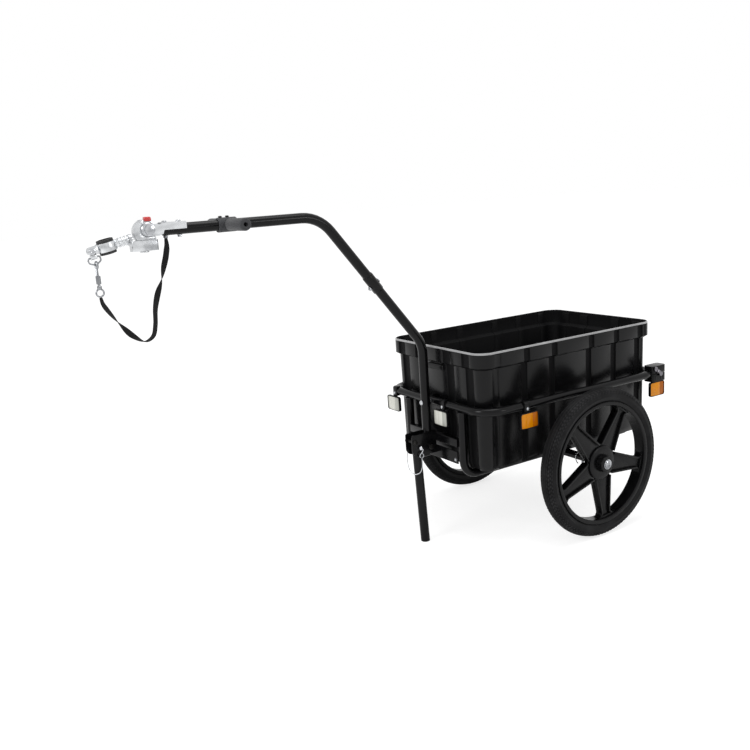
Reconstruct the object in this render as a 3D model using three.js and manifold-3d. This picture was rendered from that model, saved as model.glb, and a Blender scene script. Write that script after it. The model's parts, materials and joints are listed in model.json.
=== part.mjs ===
// Bicycle cargo trailer: a plastic tub in a steel tube frame on two 16 inch spoked plastic wheels,
// with a cranked drawbar, a folding stand and a seat-post hitch with a safety strap.
//
// Millimetres. +X points forward to the bicycle, +Y to the trailer's left and +Z up. While it is
// built, X is counted from the wheel axle and Z from the ground. At the end everything is moved
// so that the middle of the bounding box's base is the origin.

import * as THREE from 'three';
import { mergeVertices } from 'three/addons/utils/BufferGeometryUtils.js';
import manifoldModule from 'manifold-3d';

const wasm = await manifoldModule();
wasm.setup();
const { Manifold, Mesh: ManifoldMesh } = wasm;

// Sizes.

const gap = 0.3; // clearance between pieces that touch
const overrun = 3; // how far a cutter runs past the face it cuts
const weldTolerance = 1e-4; // vertices closer than this are one
const smallestDetail = 0.01; // what the cuts leave that is smaller is smoothed away
const roundSides = 12; // sides of a small round piece
const tubeSides = 12; // of the frame's tubes
const barSides = 16; // of the drawbar, the stand and what fits round them
const bandSides = 24; // of the clamp's band and liner
const wireSides = 8;
const ballSides = 10;
const tyreSteps = 8;
const arcSegments = 3; // of an arc in a cut plate, which three.js doubles
const bendStep = THREE.MathUtils.degToRad(22.5);

const wheel = {
  radius: 205, tyreRadius: 22, tyreWall: 4, sideRoom: 30, steps: 44,
  rimInset: 33, rimDepth: 15, rimWidth: 39, rimWall: 3, lipHeight: 4,
  hubRadius: 25, hubLength: 64, boreRadius: 11, axleRadius: 6,
  spokeCount: 5, spokePhase: THREE.MathUtils.degToRad(-95),
  spokeHubWidth: 66, spokeRimWidth: 28, spokeThickness: 22, pocketRoot: 48, pocketDepth: 6, pocketEdge: 5,
};

const axle = {
  tubeRadius: 11, tubeWall: 3, tubeInset: 40, insert: 52, flangeRadius: 13, flangeLength: 4,
  nutRadius: 12, nutLength: 5.5, pinRadius: 4, pinInset: 22, pinReach: 8,
  headRadius: 6.5, wireRadius: 1.4, bailBulge: 24, bailFoot: 17,
};

const tub = {
  length: 640, width: 408, centreX: 14, rimZ: 542, floorRoom: 1, wall: 3,
  band: 47, bandStep: 12, bandChamfer: 7, lip: 5, lipEase: 1.5, draft: 4, footBevel: 24,
  cornerRadius: 42, footCorner: 20, cornerSteps: 4,
  grooveDepth: 4, grooveEase: 3, sideGroove: 18, endGroove: 28,
  handleWidth: 70, handleHeight: 15, handleDepth: 6, handleDrop: 4,
};
// How far along its wall a groove lies, from the middle to the last place before the corner.
const sideGrooveShares = [-0.99, -0.627, -0.259, 0.259, 0.627, 0.99];
const endGrooveShares = [-0.99, -0.437, 0.437, 0.99];

const frame = {
  tubeRadius: 11, tubeWall: 1.6, hoopZ: 390, hoopGap: 3, hoopSideGap: 1, hoopBend: 60,
  seam: 0.6, runnerY: 118, runnerBend: 40,
  barHeight: 22, barDepth: 15, barWall: 2, barZ: 294, plateHeight: 34, plateThickness: 4, plateZ: 254,
};

const bracket = {
  halfWidth: 16, sheet: 3, length: 80, bottomZ: 251, topZ: 312, cornerRadius: 20,
  topRadius: 6,
};

const drawbar = {
  radius: 12.5, wall: 2, columnX: 364, footZ: 253, slope: THREE.MathUtils.degToRad(51.4),
  lowerCornerZ: 551.4, lowerBend: 80, topZ: 905, upperBend: 100, endX: 1035,
  sleeveWall: 1.8, sleeveBelow: 36, sleeveAbove: 16, boltBack: 16,
  footBoltZ: 270, hoopBoltRise: 2,
};
const jointShare = 0.528; // of the slope's rise, where the lower tube ends

const bolt = { radius: 4, headRadius: 7, headHeight: 5, smallRadius: 3, smallHead: 6, smallHeight: 3.6 };

const handle = {
  x: 882, halfLength: 100, radius: 14, sleeveRadius: 16.5, sleeveBack: 20, sleeveFront: 26,
  holeRadius: 5, holeDepth: 55, screwSpread: 17, screwHead: 4.5, screwHeight: 3.5,
};

const stand = {
  radius: 12.5, wall: 2, pivotX: 402, pivotZ: 275, footX: 389, crownReach: 9.5,
  plugHeight: 5, plugDepth: 14, pinRadius: 4, ballRadius: 6, tailLength: 15, ringRadius: 6,
  wireRadius: 1.5, pegX: 413, pegZ: 257, pegRadius: 2.5, pegHeight: 3,
};

const reflector = {
  width: 60, height: 42, depth: 8, corner: 6, drop: 35, stripWidth: 18, stripThickness: 3,
  clipHalf: 13.8, frontLeftY: 53, frontRightInset: 40, sideX: 207, rearAhead: 8, rearInset: 8,
};
const stripShare = 0.75; // of a reflector's height that its strip runs down behind it

const clamp = {
  // moulded clamp round each rear corner of the hoop, measured from the hoop's tube
  ahead: 29, behind: 28, inward: 26, outward: 8, below: 24, above: 22, corner: 8, splitHeight: 2,
  screwAhead: 10, screwRise: 7, screwRadius: 4, screwDepth: 12, hubRadius: 7, hubLength: 9,
  wingReach: 13, wingRadius: 7, wingThickness: 4, wingTilt: THREE.MathUtils.degToRad(38),
};

const coupling = {
  length: 53, skirtRear: 51, sheet: 3, halfWidth: 15.8, boltSpacing: 32, boltBack: 6,
  eyeAhead: 34, eyeRise: 3, eyeRadius: 14, crossRadius: 6, headRadius: 13.5, headHeight: 8,
  bushRadius: 15,
};

const hook = {
  // measured from the eye that it turns on
  halfWidth: 9, outerAhead: 4, outerDrop: 4, outerRadius: 27, rearBack: 16, lipDrop: 15,
  tipAngle: THREE.MathUtils.degToRad(55), lipAngle: THREE.MathUtils.degToRad(235),
  spigotRadius: 7, flangeRadius: 10, flangeHeight: 3,
  pivotAhead: 14, pivotRise: 17, pivotRadius: 2.5, slotHalf: 3.4, slotRise: 9,
};

const latch = {
  halfWidth: 3, clearance: 1.2, thickness: 5, tipAngle: THREE.MathUtils.degToRad(150), eyeRadius: 5,
  tabBack: 7, tabFore: 3, tabRise: 3, capWall: 3.5, capSkirt: 6,
};

const swivel = {
  // measured from the eye
  ahead: 10, rearBack: 19, frontAhead: 39, halfWidth: 12.4, bottomDrop: 44, topDrop: 21.3, corner: 4,
  lugRadius: 11, lugLength: 9, lugAhead: 43, lugDrop: 17.5, journalRadius: 5, journalLength: 8,
  tilt: 12, // degrees, nose down
};

const post = {
  // clamp on the bicycle's seat post, along its own tilted axis from the swivel's front face
  neckRadius: 9, ribRadius: 11, ribCount: 3, neckLength: 28, centre: 48, boreRadius: 14.3,
  linerWall: 3.5, linerHeight: 31, bandWall: 3.4, bandHeight: 19, split: 4,
  lugReach: 34, lugWidth: 6, lugRadius: 8.5, boltRadius: 4, boltHead: 7.5, boltHeight: 5.5,
  earDrop: 13, earRadius: 4.5, earHalf: 7,
};

const ribStartShare = 0.5; // of a rib's pitch, where the rib starts

const ring = {
  wireRadius: 1.8, halfWidth: 14, shoulderHalf: 12.6, shoulderDrop: 10.2, depth: 17, corner: 5,
};

const snap = {
  wireRadius: 2.4, hookRadius: 6.5, shankLength: 34, barrelRadius: 5, barrelLength: 8,
  eyeRadius: 8, eyeWire: 2, mouth: THREE.MathUtils.degToRad(-20),
};

const strap = { radius: 4, sides: 8, steps: 26 };
const lanyard = { radius: 1.1, sides: 8, steps: 16 };

// Places worked out from the sizes.

const axleZ = wheel.radius;
const floorZ = axleZ + axle.tubeRadius + tub.floorRoom;
const runnerZ = floorZ - gap - frame.tubeRadius;
const hoopHalfWidth = tub.width / 2 + frame.hoopSideGap + frame.tubeRadius;
const wheelY = hoopHalfWidth + frame.tubeRadius + wheel.sideRoom + wheel.tyreRadius;
const rimRadius = wheel.radius - wheel.rimInset;
const tubeEnd = wheelY - axle.tubeInset;
const hoopBoltZ = frame.hoopZ + drawbar.hoopBoltRise;
const wallInset = tub.bandStep + tub.draft * (tub.rimZ - tub.band - frame.hoopZ)
  / (tub.rimZ - tub.band - floorZ);
const hoopHalfLength = tub.length / 2 - wallInset + frame.hoopGap + frame.tubeRadius;
const hoopFrontX = tub.centreX + hoopHalfLength;
const hoopRearX = tub.centreX - hoopHalfLength;
const uprightTopZ = frame.hoopZ - frame.tubeRadius - gap;
const barFrontX = hoopFrontX + frame.tubeRadius + gap;
const bracketRearX = barFrontX + gap;
const slopeRun = new THREE.Vector3(Math.cos(drawbar.slope), 0, Math.sin(drawbar.slope));
const slopeUp = new THREE.Vector3(-Math.sin(drawbar.slope), 0, Math.cos(drawbar.slope));
const lowerCorner = new THREE.Vector3(drawbar.columnX, 0, drawbar.lowerCornerZ);
const slopeLength = (drawbar.topZ - drawbar.lowerCornerZ) / slopeRun.z;
const jointPoint = lowerCorner.clone().addScaledVector(slopeRun, slopeLength * jointShare);
const upperCorner = lowerCorner.clone().addScaledVector(slopeRun, slopeLength);
const standPivot = new THREE.Vector3(stand.pivotX, 0, stand.pivotZ);
const standDown = new THREE.Vector3(stand.footX, 0, 0).sub(standPivot).normalize();
const alongStand = (reach, y = 0) => standPivot.clone().addScaledVector(standDown, reach).setY(y);
const standLength = standPivot.distanceTo(new THREE.Vector3(stand.footX, 0, 0));
const lockHeadY = bracket.halfWidth + stand.ballRadius + gap;

// The stand's stop bolt: it lies against the leg's crown, and just over the leg folded level.
const stopReach = stand.radius + bolt.radius + gap;
const crownCentre = alongStand(-stand.crownReach);
const stopRise = stand.pivotZ + stopReach - crownCentre.z;
const stopBolt = new THREE.Vector3(crownCentre.x + Math.sqrt(stopReach ** 2 - stopRise ** 2), 0,
  stand.pivotZ + stopReach);
const frontBoltX = drawbar.endX - coupling.boltBack;
const eyeCentre = new THREE.Vector3(drawbar.endX + coupling.eyeAhead, 0, drawbar.topZ + coupling.eyeRise);
const fromEye = (ahead, rise) => new THREE.Vector3(eyeCentre.x + ahead, 0, eyeCentre.z + rise);
const hookPivot = fromEye(hook.pivotAhead, hook.pivotRise);
const latchInner = coupling.bushRadius + latch.clearance;
const latchTab = {
  rearX: eyeCentre.x - latch.tabBack, frontX: eyeCentre.x + latch.tabFore,
  topZ: eyeCentre.z + latchInner + latch.thickness + latch.tabRise,
};
const swivelX = eyeCentre.x + swivel.ahead;
const swivelTopZ = eyeCentre.z - swivel.topDrop;
const swivelBottomZ = eyeCentre.z - swivel.bottomDrop;
const swivelNose = fromEye(swivel.lugAhead, -swivel.lugDrop);
const bandInner = post.boreRadius + post.linerWall + gap;
const bandOuter = bandInner + post.bandWall;
const boltReach = post.centre + post.lugReach;

// Solids.

const v = (x, y, z) => new THREE.Vector3(x, y, z);

// A manifold solid from any closed three.js geometry, turned right side out.
function solidOf(geometry) {
  const bare = new THREE.BufferGeometry();
  bare.setAttribute('position', geometry.getAttribute('position').clone());
  if (geometry.index) bare.setIndex(geometry.index.clone());
  const merged = mergeVertices(bare, weldTolerance);
  const place = merged.getAttribute('position');
  const [a, b, c] = [v(0, 0, 0), v(0, 0, 0), v(0, 0, 0)];
  const kept = [];
  let volume = 0;
  for (let i = 0; i < merged.index.count; i += 3) {
    const corners = [0, 1, 2].map((k) => merged.index.getX(i + k));
    if (new Set(corners).size < 3) continue;
    kept.push(corners);
    a.fromBufferAttribute(place, corners[0]);
    b.fromBufferAttribute(place, corners[1]);
    c.fromBufferAttribute(place, corners[2]);
    volume += a.dot(b.cross(c));
  }
  const triVerts = new Uint32Array(kept.flatMap(([p, q, r]) => (volume < 0 ? [p, r, q] : [p, q, r])));
  const mesh = new ManifoldMesh({ numProp: 3, vertProperties: new Float32Array(place.array), triVerts });
  mesh.merge();
  return new Manifold(mesh);
}

function geometryOf(solid) {
  const mesh = solid.simplify(smallestDetail).getMesh();
  const geometry = new THREE.BufferGeometry();
  const places = new Float32Array(mesh.numVert * 3);
  for (let i = 0; i < mesh.numVert; i += 1) {
    for (let k = 0; k < 3; k += 1) places[i * 3 + k] = mesh.vertProperties[i * mesh.numProp + k];
  }
  geometry.setAttribute('position', new THREE.BufferAttribute(places, 3));
  geometry.setIndex(new THREE.BufferAttribute(new Uint32Array(mesh.triVerts), 1));
  return geometry;
}

// A box between two opposite corners.
function box(from, to) {
  const size = v(0, 0, 0).subVectors(to, from);
  const geometry = new THREE.BoxGeometry(Math.abs(size.x), Math.abs(size.y), Math.abs(size.z));
  geometry.translate((from.x + to.x) / 2, (from.y + to.y) / 2, (from.z + to.z) / 2);
  return solidOf(geometry);
}

// A round bar between two points. Six sides make a hexagon.
function rod(from, to, radius, sides = roundSides) {
  const along = to.clone().sub(from);
  const geometry = new THREE.CylinderGeometry(radius, radius, along.length(), sides);
  geometry.applyQuaternion(new THREE.Quaternion().setFromUnitVectors(v(0, 1, 0), along.normalize()));
  geometry.translate((from.x + to.x) / 2, (from.y + to.y) / 2, (from.z + to.z) / 2);
  return solidOf(geometry);
}

function ball(centre, radius) {
  const geometry = new THREE.SphereGeometry(radius, ballSides, ballSides / 2);
  geometry.translate(centre.x, centre.y, centre.z);
  return solidOf(geometry);
}

// A closed profile of [radius, height] pairs turned about Y.
function turned(profile, steps) {
  const points = [...profile, profile[0]].map(([r, y]) => new THREE.Vector2(r, y));
  return solidOf(new THREE.LatheGeometry(points, steps));
}

// A flat outline in X and Z, made solid from one Y to another.
function plate(shape, fromY, toY, curveSegments = arcSegments) {
  const geometry = new THREE.ExtrudeGeometry(shape, {
    depth: toY - fromY, bevelEnabled: false, curveSegments,
  });
  geometry.rotateX(Math.PI / 2);
  geometry.translate(0, toY, 0);
  return solidOf(geometry);
}

// A flat outline in X and Y, made solid from one Z to another.
function slab(shape, fromZ, toZ) {
  const geometry = new THREE.ExtrudeGeometry(shape, {
    depth: toZ - fromZ, bevelEnabled: false, curveSegments: arcSegments - 1,
  });
  geometry.translate(0, 0, fromZ);
  return solidOf(geometry);
}

// A rectangle with rounded corners.
function roundedRect(x0, y0, x1, y1, radius) {
  const shape = new THREE.Shape();
  shape.moveTo(x0 + radius, y0);
  shape.lineTo(x1 - radius, y0);
  shape.absarc(x1 - radius, y0 + radius, radius, -Math.PI / 2, 0, false);
  shape.lineTo(x1, y1 - radius);
  shape.absarc(x1 - radius, y1 - radius, radius, 0, Math.PI / 2, false);
  shape.lineTo(x0 + radius, y1);
  shape.absarc(x0 + radius, y1 - radius, radius, Math.PI / 2, Math.PI, false);
  shape.lineTo(x0, y0 + radius);
  shape.absarc(x0 + radius, y0 + radius, radius, Math.PI, 1.5 * Math.PI, false);
  return shape;
}

// Points along straight runs between corners, with each inner corner bent to a radius.
function bentPath(corners, radius) {
  const points = [corners[0].clone()];
  for (let i = 1; i < corners.length - 1; i += 1) {
    const back = corners[i - 1].clone().sub(corners[i]).normalize();
    const on = corners[i + 1].clone().sub(corners[i]).normalize();
    const turn = Math.PI - back.angleTo(on);
    const reach = radius * Math.tan(turn / 2);
    const centre = back.clone().add(on).normalize()
      .multiplyScalar(radius / Math.cos(turn / 2)).add(corners[i]);
    const start = corners[i].clone().addScaledVector(back, reach).sub(centre);
    const axis = back.clone().cross(on).normalize();
    const steps = Math.ceil(turn / bendStep);
    for (let k = 0; k <= steps; k += 1) {
      points.push(start.clone().applyAxisAngle(axis, -(turn * k) / steps).add(centre));
    }
  }
  points.push(corners.at(-1).clone());
  return points;
}

// The way a path runs at each of its points.
function headings(points, closed) {
  const count = points.length;
  return points.map((point, i) => {
    const before = closed ? points[(i + count - 1) % count] : points[Math.max(i - 1, 0)];
    const after = closed ? points[(i + 1) % count] : points[Math.min(i + 1, count - 1)];
    const arriving = point.clone().sub(before).normalize();
    const leaving = after.clone().sub(point).normalize();
    return arriving.add(leaving).normalize();
  });
}

// A round bar swept along points. A closed path comes back to its first point.
function sweep(points, radius, sides = wireSides, closed = false, tangents = headings(points, closed)) {
  const count = points.length;
  const helper = Math.abs(tangents[0].z) > Math.SQRT1_2 ? v(1, 0, 0) : v(0, 0, 1);
  let side = helper.clone().cross(tangents[0]).normalize();
  const places = [];
  points.forEach((point, i) => {
    side = side.clone().addScaledVector(tangents[i], -side.dot(tangents[i])).normalize();
    const up = tangents[i].clone().cross(side);
    for (let k = 0; k < sides; k += 1) {
      const angle = (2 * Math.PI * k) / sides;
      places.push(point.clone().addScaledVector(side, radius * Math.cos(angle))
        .addScaledVector(up, radius * Math.sin(angle)));
    }
  });
  const faces = [];
  for (let i = 0; i < (closed ? count : count - 1); i += 1) {
    for (let k = 0; k < sides; k += 1) {
      const [p, q] = [i * sides + k, i * sides + ((k + 1) % sides)];
      const next = ((i + 1) % count) * sides;
      const [s, t] = [next + k, next + ((k + 1) % sides)];
      faces.push(p, s, q, q, s, t);
    }
  }
  for (let k = 1; !closed && k < sides - 1; k += 1) {
    const last = (count - 1) * sides;
    faces.push(0, k, k + 1, last, last + k + 1, last + k);
  }
  const geometry = new THREE.BufferGeometry().setFromPoints(places);
  geometry.setIndex(faces);
  return solidOf(geometry);
}

// A hollow tube along points, open at both ends.
function tube(points, radius, wall, sides = barSides) {
  return sweep(points, radius, sides).subtract(bore(points, radius - wall, sides));
}

// The space inside a tube, run on past both of its ends.
function bore(points, radius, sides = barSides, reach = overrun) {
  const on = (end, next) => end.clone().add(end.clone().sub(next).setLength(reach));
  const ends = [on(points[0], points[1]), on(points.at(-1), points.at(-2))];
  return sweep([ends[0], ...points.slice(1, -1), ends[1]], radius, sides);
}

const join = (...solids) => Manifold.union(solids);
const mirrored = (solid) => solid.mirror([0, 1, 0]);

// Materials.

const materials = {
  tubPlastic: { color: 0x1d1d1e, roughness: 0.5, metalness: 0 },
  blackPaint: { color: 0x18181a, roughness: 0.4, metalness: 0.1 },
  blackPlastic: { color: 0x151516, roughness: 0.55, metalness: 0 },
  rubber: { color: 0x1a1a1b, roughness: 0.85, metalness: 0 },
  gripRubber: { color: 0x47484a, roughness: 0.8, metalness: 0 },
  zinc: { color: 0xc9cccf, roughness: 0.32, metalness: 0.9 },
  aluminium: { color: 0xd6d8da, roughness: 0.38, metalness: 0.85 },
  orangeLens: { color: 0xd98214, roughness: 0.25, metalness: 0 },
  whiteLens: { color: 0xdcdcd4, roughness: 0.25, metalness: 0 },
  redPlastic: { color: 0xc4302f, roughness: 0.4, metalness: 0 },
  webbing: { color: 0x1b1b1c, roughness: 0.9, metalness: 0 },
};

const model = new THREE.Group();
model.name = 'bicycle_cargo_trailer';

function add(name, solid, look) {
  const mesh = new THREE.Mesh(geometryOf(solid), new THREE.MeshStandardMaterial(materials[look]));
  mesh.name = name;
  mesh.geometry.computeVertexNormals();
  model.add(mesh);
}

// Tub.

// One level of the tub's outline: a rounded rectangle with grooves in its walls. The grooves
// lean in with the outside of the wall, which an inner level lies one wall away from.
function tubRing(z, inset, depth, wallDepth) {
  const radius = Math.max(tub.cornerRadius - inset, tub.footCorner);
  const halves = [tub.length / 2 - inset, tub.width / 2 - inset];
  const points = [];
  for (let wall = 0; wall < 4; wall += 1) {
    const isEnd = wall % 2 === 0;
    const out = isEnd ? halves[0] : halves[1];
    const corner = (isEnd ? halves[1] : halves[0]) - radius;
    const shares = isEnd ? endGrooveShares : sideGrooveShares;
    const half = (isEnd ? tub.endGroove : tub.sideGroove) / 2;
    const outsideFlat = (isEnd ? halves[1] : halves[0]) + wallDepth
      - Math.max(tub.cornerRadius - inset + wallDepth, tub.footCorner);
    const reach = outsideFlat - half - tub.grooveEase - tub.wall;
    const flat = [];
    for (const share of shares) {
      const at = share * reach;
      flat.push([out, at - half - tub.grooveEase], [out - depth, at - half],
        [out - depth, at + half], [out, at + half + tub.grooveEase]);
    }
    for (let k = 0; k <= tub.cornerSteps; k += 1) {
      const angle = (Math.PI / 2) * (k / tub.cornerSteps);
      flat.push([out - radius + radius * Math.cos(angle), corner + radius * Math.sin(angle)]);
    }
    const turn = (Math.PI / 2) * wall;
    points.push(...flat.map(([x, y]) => v(x, y, z).applyAxisAngle(v(0, 0, 1), turn)));
  }
  return points.map((point) => point.add(v(tub.centreX, 0, 0)));
}

function makeTub() {
  const bandZ = tub.rimZ - tub.band;
  const lipZ = tub.rimZ - tub.lip;
  const low = tub.bandStep + tub.draft;
  const groove = tub.grooveDepth;
  const outside = [
    [floorZ, low + tub.footBevel, groove],
    [floorZ + tub.footBevel, low, groove],
    [bandZ, tub.bandStep, groove],
    [bandZ + tub.bandChamfer, 0, groove],
    [lipZ - tub.lipEase, 0, groove],
    [lipZ, 0, 0],
    [tub.rimZ, 0, 0],
  ];
  const inside = [
    [tub.rimZ, tub.wall, 0],
    [lipZ - tub.wall, tub.wall, 0],
    [lipZ - tub.wall - tub.lipEase, tub.wall, groove],
    [bandZ + tub.bandChamfer, tub.wall, groove],
    [bandZ, tub.bandStep + tub.wall, groove],
    [floorZ + tub.footBevel + tub.wall, low + tub.wall, groove],
    [floorZ + tub.wall, low + tub.footBevel + tub.wall, groove],
  ];
  const levels = [...outside, ...inside];
  const rings = [...outside.map(([z, inset, depth]) => tubRing(z, inset, depth, 0)),
    ...inside.map(([z, inset, depth]) => tubRing(z, inset, depth, tub.wall))];
  const count = rings[0].length;
  const places = rings.flat();
  const faces = [];
  for (let i = 0; i < rings.length - 1; i += 1) {
    for (let k = 0; k < count; k += 1) {
      const [p, q] = [i * count + k, i * count + ((k + 1) % count)];
      faces.push(p, q, q + count, p, q + count, p + count);
    }
  }
  const capped = [[0, levels[0][0]], [rings.length - 1, levels.at(-1)[0]]];
  for (const [ringIndex, z] of capped) {
    places.push(v(tub.centreX, 0, z));
    for (let k = 0; k < count; k += 1) {
      const [p, q] = [ringIndex * count + k, ringIndex * count + ((k + 1) % count)];
      faces.push(...(ringIndex === 0 ? [places.length - 1, q, p] : [places.length - 1, p, q]));
    }
  }
  const geometry = new THREE.BufferGeometry().setFromPoints(places);
  geometry.setIndex(faces);
  const shell = solidOf(geometry);
  const topZ = bandZ - tub.handleDrop;
  const grips = [1, -1].map((end) => {
    const wallX = tub.centreX + end * (tub.length / 2 - tub.bandStep);
    return box(v(wallX - end * tub.wall / 2, -tub.handleWidth / 2, topZ - tub.handleHeight),
      v(wallX + end * tub.handleDepth, tub.handleWidth / 2, topZ));
  });
  return join(shell, ...grips);
}

// Frame.

function hoopPath() {
  const y = hoopHalfWidth;
  const z = frame.hoopZ;
  const seamY = frame.seam / 2;
  return bentPath([v(hoopRearX, seamY, z), v(hoopRearX, y, z), v(hoopFrontX, y, z),
    v(hoopFrontX, -y, z), v(hoopRearX, -y, z), v(hoopRearX, -seamY, z)], frame.hoopBend);
}

// A tunnel for the hoop with clearance, to cut from what clips on to it.
function hoopTunnel() {
  return sweep(hoopPath(), frame.tubeRadius + gap, tubeSides);
}

function makeHoop() {
  const hole = rod(v(hoopFrontX, 0, hoopBoltZ), v(hoopFrontX + frame.tubeRadius + overrun, 0, hoopBoltZ),
    bolt.smallRadius + gap);
  return sweep(hoopPath(), frame.tubeRadius, tubeSides).subtract(join(hole,
    bore(hoopPath(), frame.tubeRadius - frame.tubeWall, tubeSides, frame.seam / 4)));
}

function makeBaseFrame() {
  const paths = [1, -1].map((side) => {
    const y = side * frame.runnerY;
    return bentPath([v(hoopFrontX, y, uprightTopZ), v(hoopFrontX, y, runnerZ),
      v(hoopRearX, y, runnerZ), v(hoopRearX, y, uprightTopZ)], frame.runnerBend);
  });
  const axlePath = [v(0, -tubeEnd, axleZ), v(0, tubeEnd, axleZ)];
  const outside = join(...paths.map((path) => sweep(path, frame.tubeRadius, tubeSides)),
    sweep(axlePath, axle.tubeRadius, tubeSides));
  const inside = join(...paths.map((path) => bore(path, frame.tubeRadius - frame.tubeWall, tubeSides)),
    bore(axlePath, axle.tubeRadius - axle.tubeWall), ...[1, -1].map((side) => axlePinHole(side)));
  return outside.subtract(inside);
}

function axlePinHole(side) {
  const y = side * (tubeEnd - axle.pinInset);
  const reach = axle.tubeRadius + overrun;
  return rod(v(0, y, axleZ - reach), v(0, y, axleZ + reach), axle.pinRadius + gap);
}

function makeFrontBar() {
  const y = frame.runnerY - frame.tubeRadius - gap;
  const rearX = barFrontX - frame.barDepth;
  const halfHeight = frame.barHeight / 2;
  const wall = frame.barWall;
  return box(v(rearX, -y, frame.barZ - halfHeight), v(barFrontX, y, frame.barZ + halfHeight))
    .subtract(box(v(rearX + wall, -y - overrun, frame.barZ - halfHeight + wall),
      v(barFrontX - wall, y + overrun, frame.barZ + halfHeight - wall)));
}

function makeFrontPlate() {
  const y = frame.runnerY - frame.tubeRadius - gap;
  return box(v(barFrontX - frame.plateThickness, -y, frame.plateZ - frame.plateHeight / 2),
    v(barFrontX, y, frame.plateZ + frame.plateHeight / 2));
}

// Drawbar.

const pinHoleAt = (x, z, radius, halfLength) => rod(v(x, -halfLength, z), v(x, halfLength, z), radius);

function makeBracket() {
  const [x0, x1] = [bracketRearX, bracketRearX + bracket.length];
  const { bottomZ, topZ, cornerRadius, topRadius, sheet, halfWidth } = bracket;
  const shape = new THREE.Shape();
  shape.moveTo(x0, bottomZ);
  shape.lineTo(x1 - cornerRadius, bottomZ);
  shape.absarc(x1 - cornerRadius, bottomZ + cornerRadius, cornerRadius, -Math.PI / 2, 0, false);
  shape.lineTo(x1, topZ - topRadius);
  shape.absarc(x1 - topRadius, topZ - topRadius, topRadius, 0, Math.PI / 2, false);
  shape.lineTo(x0, topZ);
  const inside = box(v(x0 + sheet, -halfWidth + sheet, bottomZ - overrun),
    v(x1 + overrun, halfWidth - sheet, topZ + overrun));
  const across = halfWidth + overrun;
  const peg = rod(v(stand.pegX, -halfWidth - stand.pegHeight, stand.pegZ),
    v(stand.pegX, sheet / 2 - halfWidth, stand.pegZ), stand.pegRadius);
  return join(plate(shape, -halfWidth, halfWidth).subtract(join(inside,
    pinHoleAt(drawbar.columnX, drawbar.footBoltZ, bolt.radius + gap, across),
    pinHoleAt(stopBolt.x, stopBolt.z, bolt.radius + gap, across),
    pinHoleAt(stand.pivotX, stand.pivotZ, stand.pinRadius + gap, across))), peg);
}

function jointBoltAxis() {
  const middle = jointPoint.clone().addScaledVector(slopeRun, -drawbar.boltBack);
  return (reach) => middle.clone().addScaledVector(slopeUp, reach);
}

function makeLowerTube() {
  const path = bentPath([v(drawbar.columnX, 0, drawbar.footZ), lowerCorner, jointPoint],
    drawbar.lowerBend);
  const at = jointBoltAxis();
  const reach = drawbar.radius + overrun;
  const holes = join(
    pinHoleAt(drawbar.columnX, drawbar.footBoltZ, bolt.radius + gap, reach),
    rod(v(drawbar.columnX - reach, 0, hoopBoltZ), v(drawbar.columnX + reach, 0, hoopBoltZ),
      bolt.smallRadius + gap),
    rod(at(-reach), at(reach), bolt.smallRadius + gap),
  );
  return tube(path, drawbar.radius, drawbar.wall).subtract(holes);
}

function makeUpperTube() {
  const start = jointPoint.clone().addScaledVector(slopeRun, gap);
  const end = v(drawbar.endX, 0, drawbar.topZ);
  const path = bentPath([start, upperCorner, end], drawbar.upperBend);
  const sleeveRadius = drawbar.radius + gap + drawbar.sleeveWall;
  const sleeve = [-drawbar.sleeveBelow, drawbar.sleeveAbove]
    .map((reach) => jointPoint.clone().addScaledVector(slopeRun, reach));
  const socket = [jointPoint.clone().addScaledVector(slopeRun, -drawbar.sleeveBelow - overrun), start];
  const at = jointBoltAxis();
  const reach = sleeveRadius + overrun;
  const tall = drawbar.radius + overrun;
  const upright = (x, down) => rod(v(x, 0, drawbar.topZ - down), v(x, 0, drawbar.topZ + tall),
    bolt.smallRadius + gap);
  const cuts = join(bore(path, drawbar.radius - drawbar.wall),
    rod(socket[0], socket[1], drawbar.radius + gap, barSides),
    rod(at(-reach), at(reach), bolt.smallRadius + gap),
    upright(frontBoltX, tall), upright(frontBoltX - coupling.boltSpacing, tall),
    upright(handle.x, 0), upright(handle.x + handle.screwSpread, 0));
  return join(sweep(path, drawbar.radius, barSides), rod(sleeve[0], sleeve[1], sleeveRadius, barSides))
    .subtract(cuts);
}

// A bolt with its nut: a shaft with a head on one side and a nut on the other.
function throughBolt(at, halfGrip, radius, headRadius, headHeight, headSides = 6) {
  const outer = halfGrip + gap;
  return join(rod(at(-outer - headHeight), at(outer + headHeight / 2), radius),
    rod(at(outer), at(outer + headHeight), headRadius, headSides),
    rod(at(-outer - headHeight), at(-outer), headRadius, 6));
}

function makeJointBolt() {
  const grip = drawbar.radius + gap + drawbar.sleeveWall;
  return throughBolt(jointBoltAxis(), grip, bolt.smallRadius, bolt.smallHead, bolt.smallHeight, roundSides);
}

// The bolt through the column into the hoop, with its spacer between the two tubes.
function makeHoopBolt() {
  const z = hoopBoltZ;
  const column = drawbar.columnX + drawbar.radius;
  const spacer = [hoopFrontX + frame.tubeRadius + gap, drawbar.columnX - drawbar.radius - gap];
  const shaft = rod(v(hoopFrontX + frame.tubeRadius / 2, 0, z), v(column + bolt.smallHeight / 2, 0, z),
    bolt.smallRadius);
  return join(shaft, rod(v(spacer[0], 0, z), v(spacer[1], 0, z), bolt.headRadius),
    rod(v(column + gap, 0, z), v(column + gap + bolt.smallHeight, 0, z), bolt.smallHead));
}

const crossBolt = (x, z) => throughBolt((reach) => v(x, reach, z), bracket.halfWidth, bolt.radius,
  bolt.headRadius, bolt.headHeight);

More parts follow.
